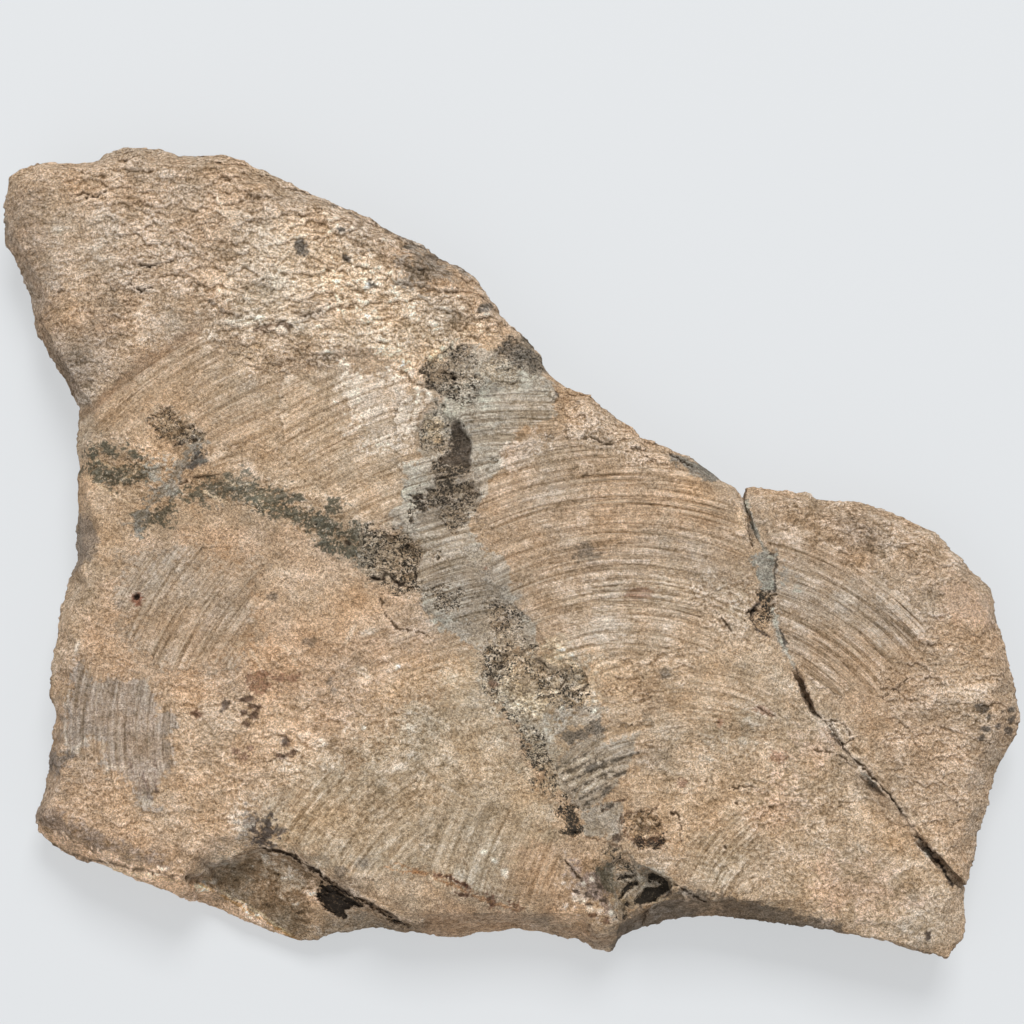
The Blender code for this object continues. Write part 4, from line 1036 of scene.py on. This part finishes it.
# height of the top, in mm: broken rock, furrows, cavities, cracks
def raiseTop(face):
    face.inCavity = ramp(face.sink, 0.0, 0.8)
    face.coarse = np.maximum(face.rough, 0.9 * face.inCavity)
    flaky = 0.30 + 0.90 * ramp(face.patchy + 0.5 * face.drift, -0.9, 1.1)
    pitted = 1.0 + relief["pitted"] * face.inCavity
    large = (relief["lump"] * face.lump + relief["chip"] * face.chip
             + relief["flake"] * face.flake * flaky * face.coarse ** 0.6)
    small = (relief["bit"] * face.bit + relief["rock"] * face.rock * 0.6 + relief["crumb"] * face.crumb
             + relief["fleck"] * face.fleck)
    height = face.coarse * (large + pitted * small)
    level = face.lump + 0.7 * face.rock + 0.6 * face.crumb + 0.5 * face.fleck
    height += (1.0 - face.coarse) * relief["ground"] * level
    face.groove = ramp(-face.furrow, 0.3, 1.3)
    face.thin = ramp(-face.scratch, 0.5, 1.5)
    height += face.depth * (relief["furrow"] * (0.25 * face.furrow - face.groove)
                            - relief["scratch"] * face.thin
                            + relief["band"] * face.band * ramp(face.depth, 0.3, 0.6))
    height -= face.sink * (0.75 + 0.10 * face.lump + 0.35 * face.chip)
    for lift, width, points in ridges:
        height += lift * face.line(points, width)
    return np.minimum(height - face.crackDepth, relief["lift"])


# moves the points, and returns how far each went, in mm
def breakSurface(piece, face):
    height = raiseTop(face)
    sideways = relief["wall"] * (0.35 * face.lump + 0.45 * face.flake + 0.35 * face.chip + 0.15 * face.rock
                                 + 0.12 * face.crumb)
    sideways = np.minimum(sideways, relief["lift"]) * face.wall
    fade = ramp(face.points[:, 2], 0.0, 0.004)
    flat = face.normals * np.array((1.0, 1.0, 0.3))
    flat /= np.maximum(np.linalg.norm(flat, axis=1), 1e-6)[:, None]
    move = flat * (sideways * (0.35 + 0.65 * fade))[:, None]
    move[:, 2] += face.onTop * height
    face.points += move * 0.001
    face.points[:, 2] = np.maximum(face.points[:, 2], 0.0)
    piece.data.vertices.foreach_set("co", face.points.astype(np.float32).ravel())
    return face.onTop * height + sideways


def paintTone(face):
    tone = np.tile(np.array(groundTone) / 255, (face.count, 1))
    for colour, solid, soft, ragged, outline in broadPatches:
        paintColour(tone, face.zone(outline, soft, ragged) * solid, colour)
    # painted shade: the steep sides are made darker
    shadedSide = np.array(shadedSideTone) / 255 * (1.0 + 0.06 * face.patchy + 0.05 * face.rock)[:, None]
    sides = (1.0 - ramp(face.normals[:, 2], 0.15, 0.55)) * (1.0 - face.joint)
    tone += (shadedSide - tone) * (sides * 0.8)[:, None]
    vein = 1.0 - ramp(np.abs(face.rock + 0.5 * face.crumb), 0.08, 0.34)
    for colour, solid, soft, ragged, outline in patches:
        share = face.zone(outline, soft, ragged) * solid
        if colour == seamGreen:
            share *= 1.0 - 0.80 * vein
        paintColour(tone, share, colour)
    for colour, solid, width, *strokes in lines:
        for points in strokes:
            paintColour(tone, face.line(points, width) * solid, colour)
    for colour, solid, *places in marks:
        for place in places:
            paintColour(tone, face.spot(*place, 0.35, 1.0) * solid, colour)
    return tone


# how much lighter each point is than its painted colour
def findShade(face, moved):
    shade = shading["patchy"] * face.patchy + shading["lump"] * face.lump + shading["crumb"] * face.crumb
    # painted shade fills the hollows, and the crests get a painted highlight
    for rounds, deep, share in hollowShade:
        hollow = np.clip((face.smoothed(moved, rounds) - moved) / deep, -1.3, 2.6)
        shade -= share * hollow * (1.0 - 0.3 * face.inCavity)
    shade -= face.show * (shading["furrow"] * (face.groove + face.thin)
                          - shading["crest"] * ramp(face.furrow, 0.2, 1.2)
                          - shading["band"] * face.band * ramp(face.depth, 0.3, 0.6))
    blotch = 0.5 * face.rock + 0.5 * face.crumb + 0.4 * face.patchy
    for share, outline in blotches:
        shade += face.zone(outline, 6, 1.0) * share * blotch
    shade -= shading["pinhole"] * ramp(-face.crumb - face.fleck, 1.1, 2.2)
    shade -= shading["freckle"] * face.freckle * ramp(face.crumb + 0.6 * face.fleck, 0.7, 1.4)
    return np.maximum(shade, shading["darkest"])


def paintStone(piece, face, moved):
    face.freckle = face.empty()
    for place in freckles:
        face.freckle = np.maximum(face.freckle, face.spot(*place, 0, 0.6, 0.5))
    face.freckle *= face.onTop
    shade = findShade(face, moved)[:, None]
    tone = paintTone(face)
    # the darker the warmer
    tone *= (1.0 + shade) * (1.0 + shade * np.array((-0.08, 0.08, 0.36)))
    tone *= 1.0 + face.drift[:, None] * np.array((0.010, -0.002, -0.016))
    for light, *place in paleDarkPlaces:
        tone *= 1.0 + (light - 1.0) * face.spot(*place, 0.9, 0.6)[:, None]
    tone *= 1.0 - face.dark[:, None] * np.array((0.02, 0.05, 0.09))
    tone[:, 2] = np.minimum(tone[:, 2], 0.91 * tone[:, 1])      # no stone here is blue
    linear = straight(np.clip(tone * toneBalance, 0.02, 0.95))
    storeField(piece, "tone", np.hstack([linear, np.ones((face.count, 1))]), "FLOAT_COLOR")
    storeField(piece, "dark", face.dark * face.onTop)
    storeField(piece, "crack", face.crack * face.onTop * 0.85)
    storeField(piece, "show", face.show * face.onTop * (1.0 - face.inCavity))
    storeField(piece, "rough", np.maximum(face.coarse * face.onTop, face.wall))
    storeField(piece, "freckle", face.freckle)


def makeStone(piece, others):
    applyModifier(piece, "NODES", node_group=bodyNoiseTree)
    applyModifier(piece, "NODES", node_group=flakeTree)
    face = Face(piece, others)
    findCuts(piece, face)
    findHollows(face)
    paintStone(piece, face, breakSurface(piece, face))


def blend(tree, share, first, second, mode="MIX"):
    return addNode(tree, "ShaderNodeMix", {0: share, 6: first, 7: second}, data_type="RGBA",
                   blend_type=mode).outputs[2]


def tinted(tree, share, colour, by):
    return blend(tree, share, colour, blend(tree, 1.0, colour, (*by, 1.0), "MULTIPLY"))


def joined(tree, red, green, blue):
    return addNode(tree, "ShaderNodeCombineColor", {0: red, 1: green, 2: blue}).outputs[0]


# the colour made lighter or darker; light is about 1
def lighten(tree, colour, light):
    return blend(tree, 1.0, colour, joined(tree, light, light, light), "MULTIPLY")


def stretch(tree, value, low, high, start=0.0, end=1.0):
    return addNode(tree, "ShaderNodeMapRange", {0: value, 1: low, 2: high, 3: start, 4: end}).outputs[0]


def readAttribute(tree, name, output="Fac"):
    node = addNode(tree, "ShaderNodeAttribute", attribute_name=name, attribute_type="GEOMETRY")
    return node.outputs[output]


# inputs and outputs are names, each with a kind: Vector or Float
def makeGroup(title, inputs, outputs):
    group = bpy.data.node_groups.new(title, "ShaderNodeTree")
    for way, sockets in (("INPUT", inputs), ("OUTPUT", outputs)):
        for name, kind in sockets.items():
            group.interface.new_socket(name=name, in_out=way, socket_type="NodeSocket" + kind)
    return group, group.nodes.new("NodeGroupInput").outputs, group.nodes.new("NodeGroupOutput").inputs


# fine mineral grain: a lighter and darker share, and dark specks
def makeGrain():
    inputs = {"Vector": "Vector", "Size": "Float", "Specks": "Float"}
    group, given, result = makeGroup("Stone grain", inputs, {"Light": "Float", "Specks": "Float"})
    fine = addNoise(group, given["Vector"], given["Size"], 4.0, 0.72)
    broad = addNoise(group, given["Vector"], multiply(group, given["Size"], 0.36), 3.0, 0.6)
    light = calculate(group, "ADD", multiply(group, fine, 0.7), multiply(group, broad, 0.3))
    threshold = calculate(group, "MULTIPLY_ADD", given["Specks"], -0.12, 0.46)
    specks = stretch(group, light, threshold, calculate(group, "SUBTRACT", threshold, 0.05))
    group.links.new(light, result["Light"])
    group.links.new(specks, result["Specks"])
    return group


# scratches that run along the disc's arcs: how wide and how long they are, in mm
def makeBrushed():
    outputs = {"Lines": "Float", "Fine": "Float"}
    group, given, result = makeGroup("Disc scratches", {"Cut": "Vector"}, outputs)
    for name, wide, long in (("Lines", 1.1, 30.0), ("Fine", 0.42, 8.0)):
        scaled = vectorMath(group, "MULTIPLY", given["Cut"], (1 / wide, 1 / long, 1.0))
        group.links.new(addNoise(group, scaled, 1.0, 2.0, 0.6), result[name])
    return group


# angular crumbs: each has its own level, and lies lower towards its edges
def makeCrumbs():
    group, given, result = makeGroup("Crumbs", {"Vector": "Vector"}, {"Level": "Float", "Height": "Float"})
    stray = addNoise(group, given["Vector"], 1.1, 3.0, 0.7, "Color")
    moved = vectorMath(group, "MULTIPLY_ADD", stray, (1.2, 1.2, 1.2), given["Vector"])
    level, height = 0.0, 0.0
    for scale, share in ((1.0, 0.42), (2.4, 0.58)):
        cells = addNode(group, "ShaderNodeTexVoronoi", {"Vector": moved, "Scale": scale})
        own = addNode(group, "ShaderNodeSeparateColor", {0: cells.outputs["Color"]}).outputs[0]
        level = calculate(group, "MULTIPLY_ADD", own, share, level)
        fallen = calculate(group, "SUBTRACT", own, cells.outputs["Distance"])
        height = calculate(group, "MULTIPLY_ADD", fallen, share / scale, height)
    group.links.new(level, result["Level"])
    group.links.new(height, result["Height"])
    return group


grain = makeGrain()
brushed = makeBrushed()
crumbled = makeCrumbs()

# strength of the grain and of the grit, roughness, colour of the specks, and of the deep crumbs, which is
# also the painted shade that fills the darkest holes
finishes = {
    "limestone": {"grain": 0.42, "grit": 0.46, "rough": 0.88, "speck": (92, 70, 52), "deep": (60, 51, 42)},
    "grey_filler": {"grain": 0.40, "grit": 0.44, "rough": 0.84, "speck": (80, 72, 62), "deep": (60, 53, 44)},
    "dark_filler": {"grain": 0.44, "grit": 0.42, "rough": 0.84, "speck": (62, 57, 47), "deep": (54, 48, 39)},
}

# what the finishes share
stoneLook = {
    "grainSize": 2.2,           # patterns to the millimetre
    "gritSize": 2.7,
    "driftSize": 0.22,
    "levelled": 0.30,           # how much of the grit the disc has taken off
    "warmth": (1.10, 0.97, 0.86),
    "furrowTint": (0.50, 0.49, 0.48),
    "furrowShare": 0.48,
    "crest": (208, 191, 167),
    "crestShare": 0.28,
    "crack": (50, 39, 31),
    "bumpDepth": 0.00055,
}


# the stone's painted colour with its grain, grit and specks
def addGrain(tree, values, inMm, stone, crumbs, show):
    def grade(share, low, high):
        return stretch(tree, stone.outputs["Light"], 0.30, 0.70, 1.0 - share * low, 1.0 + share * high)

    # lighter and darker grains, the darker ones warmer
    share = values["grain"]
    light = joined(tree, grade(share, 1.0, 1.0), grade(share, 1.08, 1.04), grade(share, 1.25, 1.15))
    colour = blend(tree, 1.0, readAttribute(tree, "tone", "Color"), light, "MULTIPLY")
    cells = addNode(tree, "ShaderNodeTexVoronoi", {"Vector": inMm, "Scale": stoneLook["gritSize"]})
    level = addNode(tree, "ShaderNodeSeparateColor", {0: cells.outputs["Color"]}).outputs[0]
    grit = multiply(tree, stretch(tree, level, 0.0, 1.0, 1.0 - values["grit"], 1.0 + values["grit"]),
                    stretch(tree, crumbs.outputs["Level"], 0.1, 0.9, 0.93, 1.07))
    levelled = calculate(tree, "MULTIPLY_ADD", show, -stoneLook["levelled"], 1.0)
    grit = calculate(tree, "MULTIPLY_ADD", calculate(tree, "SUBTRACT", grit, 1.0), levelled, 1.0)
    colour = lighten(tree, colour, grit)
    # warm and cool drifts of a few millimetres
    drift = addNoise(tree, inMm, stoneLook["driftSize"], 3.0, 0.6)
    colour = tinted(tree, stretch(tree, drift, 0.35, 0.65, 0.0, 0.35), colour, stoneLook["warmth"])
    specks = calculate(tree, "MULTIPLY_ADD", readAttribute(tree, "rough"), 0.35, 0.42)
    return blend(tree, multiply(tree, stone.outputs["Specks"], specks), colour, tint(*values["speck"]))


# darker in the disc's furrows and paler on their crests
def addScratches(tree, colour, disc, show):
    furrow = multiply(tree, stretch(tree, disc.outputs["Lines"], 0.47, 0.36), show, stoneLook["furrowShare"])
    colour = tinted(tree, furrow, colour, stoneLook["furrowTint"])
    crest = multiply(tree, stretch(tree, disc.outputs["Lines"], 0.53, 0.66), show, stoneLook["crestShare"])
    colour = blend(tree, crest, colour, tint(*stoneLook["crest"]))
    fine = stretch(tree, disc.outputs["Fine"], 0.3, 0.7, -0.22, 0.22)
    return lighten(tree, colour, calculate(tree, "MULTIPLY_ADD", fine, show, 1.0))


# crumbly hollows: the darker one is, the fewer of its crumbs are pale, and the darkest are filled with the
# deep colour as painted shade
def addHollows(tree, colour, values, crumbs, dark):
    inside = stretch(tree, dark, 0.0, 0.25)
    pale = blend(tree, inside, colour,
                 lighten(tree, colour, stretch(tree, crumbs.outputs["Level"], 0.2, 0.8, 0.78, 1.26)))
    over = calculate(tree, "SUBTRACT", crumbs.outputs["Level"], multiply(tree, dark, 0.72))
    deep = tint(*values["deep"])
    hollow = blend(tree, calculate(tree, "MULTIPLY_ADD", over, 8.0, 0.5, clamp=True), deep, pale)
    colour = blend(tree, inside, colour, hollow)
    return blend(tree, stretch(tree, dark, 0.65, 1.0, 0.0, 0.8), colour, deep)


def makeFinish(name, values):
    material = bpy.data.materials.new(name)
    material.use_nodes = True
    tree = material.node_tree
    tree.nodes.clear()
    dark = readAttribute(tree, "dark")
    show = readAttribute(tree, "show")
    inMm = intoMm(tree, addNode(tree, "ShaderNodeTexCoord").outputs["Object"])
    specks = calculate(tree, "MULTIPLY_ADD", readAttribute(tree, "freckle"), 1.2, 0.40)
    stone = addNode(tree, "ShaderNodeGroup", node_tree=grain)
    stone.inputs["Size"].default_value = stoneLook["grainSize"]
    tree.links.new(inMm, stone.inputs["Vector"])
    tree.links.new(specks, stone.inputs["Specks"])
    disc = addNode(tree, "ShaderNodeGroup", node_tree=brushed)
    tree.links.new(readAttribute(tree, "cut", "Vector"), disc.inputs["Cut"])
    crumbs = addNode(tree, "ShaderNodeGroup", node_tree=crumbled)
    tree.links.new(inMm, crumbs.inputs["Vector"])

    colour = addGrain(tree, values, inMm, stone, crumbs, show)
    colour = addScratches(tree, colour, disc, show)
    colour = addHollows(tree, colour, values, crumbs, dark)
    # painted shade in the cracks and holes
    colour = blend(tree, readAttribute(tree, "crack"), colour, tint(*stoneLook["crack"]))

    loose = calculate(tree, "MULTIPLY_ADD", dark, 0.9, multiply(tree, readAttribute(tree, "rough"), 0.25))
    height = calculate(tree, "MULTIPLY_ADD", crumbs.outputs["Height"], loose, stone.outputs["Light"])
    for lines, share in (("Lines", 0.9), ("Fine", 0.35)):
        height = calculate(tree, "MULTIPLY_ADD", multiply(tree, disc.outputs[lines], show), share, height)
    bump = addNode(tree, "ShaderNodeBump",
                   {"Height": height, "Strength": 1.0, "Distance": stoneLook["bumpDepth"]})
    surface = addNode(tree, "ShaderNodeBsdfPrincipled",
                      {"Base Color": colour, "Roughness": values["rough"], "Specular IOR Level": 0.25,
                       "Normal": bump.outputs[0]})
    addNode(tree, "ShaderNodeOutputMaterial", {"Surface": surface.outputs[0]})
    return material


materials = {name: makeFinish(name, values) for name, values in finishes.items()}
print("finishes ready")

# the pieces: finish of each, and the size of its fine mesh's squares in metres
pieces = {
    "upper_left_block": {"finish": "limestone", "cell": 0.00047},
    "lower_left_block": {"finish": "limestone", "cell": 0.00053},
    "middle_block": {"finish": "limestone", "cell": 0.00046},
    "right_block": {"finish": "limestone", "cell": 0.00040},
    "left_seam_filler": {"finish": "dark_filler", "cell": 0.00038},
    "centre_seam_filler": {"finish": "grey_filler", "cell": 0.00038},
    "right_seam_filler": {"finish": "grey_filler", "cell": 0.00038},
}

for name, values in pieces.items():
    others = solidsOf([other for other in pieces if other != name])
    piece = fineCopy(name, values["cell"], others)
    makeStone(piece, others)
    wallFaces = np.abs(readVectors(piece.data.polygons, "normal")[:, 2]) < 0.5
    thinFaces(piece, wallFaces, mesh["wallShare"])
    settle(piece)
    for noiseName in [*bodyNoise, *flakeNoise, *cutNoise]:
        piece.data.attributes.remove(piece.data.attributes[noiseName])
    pickOnly(piece)
    bpy.ops.object.shade_smooth()
    piece.data.materials.append(materials[values["finish"]])
    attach(piece, "root")
    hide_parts(name)
    piece.data.calc_loop_triangles()
    print("made", piece.name, "with", len(piece.data.loop_triangles), "triangles")


stageValues = {
    "floorSize": 16.0,
    "floorColour": (136, 138, 140),
    "glowColour": (252, 254, 255),
    "floorGlow": 0.50,          # keeps the shadows on the floor faint
    "lightAim": (0.0, 0.0, 0.02),
    "skyColour": (238, 241, 246),
    "skyStrength": 0.50,
    "keyPower": 106.0,
    "keySize": 1.5,
    "keyPlace": (0.42, 2.1, 2.9),
    "fillPower": 6.0,
    "fillSize": 1.6,
    "fillPlace": (-0.7, -1.0, 1.2),
}

bpy.ops.object.select_all(action="DESELECT")
bpy.ops.mesh.primitive_grid_add(x_subdivisions=8, y_subdivisions=8, size=stageValues["floorSize"])
floor = bpy.context.object
floor.name = "floor"
floorPaint = bpy.data.materials.new("floor paint")
floorPaint.use_nodes = True
floorShader = floorPaint.node_tree.nodes["Principled BSDF"]
floorShader.inputs["Base Color"].default_value = tint(*stageValues["floorColour"])
floorShader.inputs["Emission Color"].default_value = tint(*stageValues["glowColour"])
floorShader.inputs["Emission Strength"].default_value = stageValues["floorGlow"]
floorShader.inputs["Roughness"].default_value = 0.9
floorShader.inputs["Specular IOR Level"].default_value = 0.1
floor.data.materials.append(floorPaint)

world = bpy.data.worlds.new("studio")
bpy.context.scene.world = world
world.use_nodes = True
sky = world.node_tree.nodes["Background"]
sky.inputs["Color"].default_value = tint(*stageValues["skyColour"])
sky.inputs["Strength"].default_value = stageValues["skyStrength"]


def addLight(title, place, size, power):
    light = bpy.data.lights.new(title, "AREA")
    light.shape = "SQUARE"
    light.size = size
    light.energy = power
    lamp = bpy.data.objects.new(title, light)
    bpy.context.collection.objects.link(lamp)
    lamp.location = place
    towards = Vector(stageValues["lightAim"]) - Vector(place)
    lamp.rotation_euler = towards.to_track_quat("-Z", "Y").to_euler()


addLight("key", stageValues["keyPlace"], stageValues["keySize"], stageValues["keyPower"])
addLight("fill", stageValues["fillPlace"], stageValues["fillSize"], stageValues["fillPower"])

lean = math.radians(camera["elevation"])
eyeData = bpy.data.cameras.new("camera")
eyeData.lens = camera["lens"]
eyeData.sensor_width = camera["sensor"]
eye = bpy.data.objects.new("camera", eyeData)
bpy.context.collection.objects.link(eye)
aim = Vector(camera["target"])
eye.location = aim + camera["distance"] * Vector((0.0, -math.cos(lean), math.sin(lean)))
eye.rotation_euler = (math.radians(90.0) - lean, 0.0, 0.0)
bpy.context.scene.camera = eye

bpy.context.scene.view_settings.view_transform = "Standard"
bpy.context.scene.view_settings.look = "None"
print("stage ready")
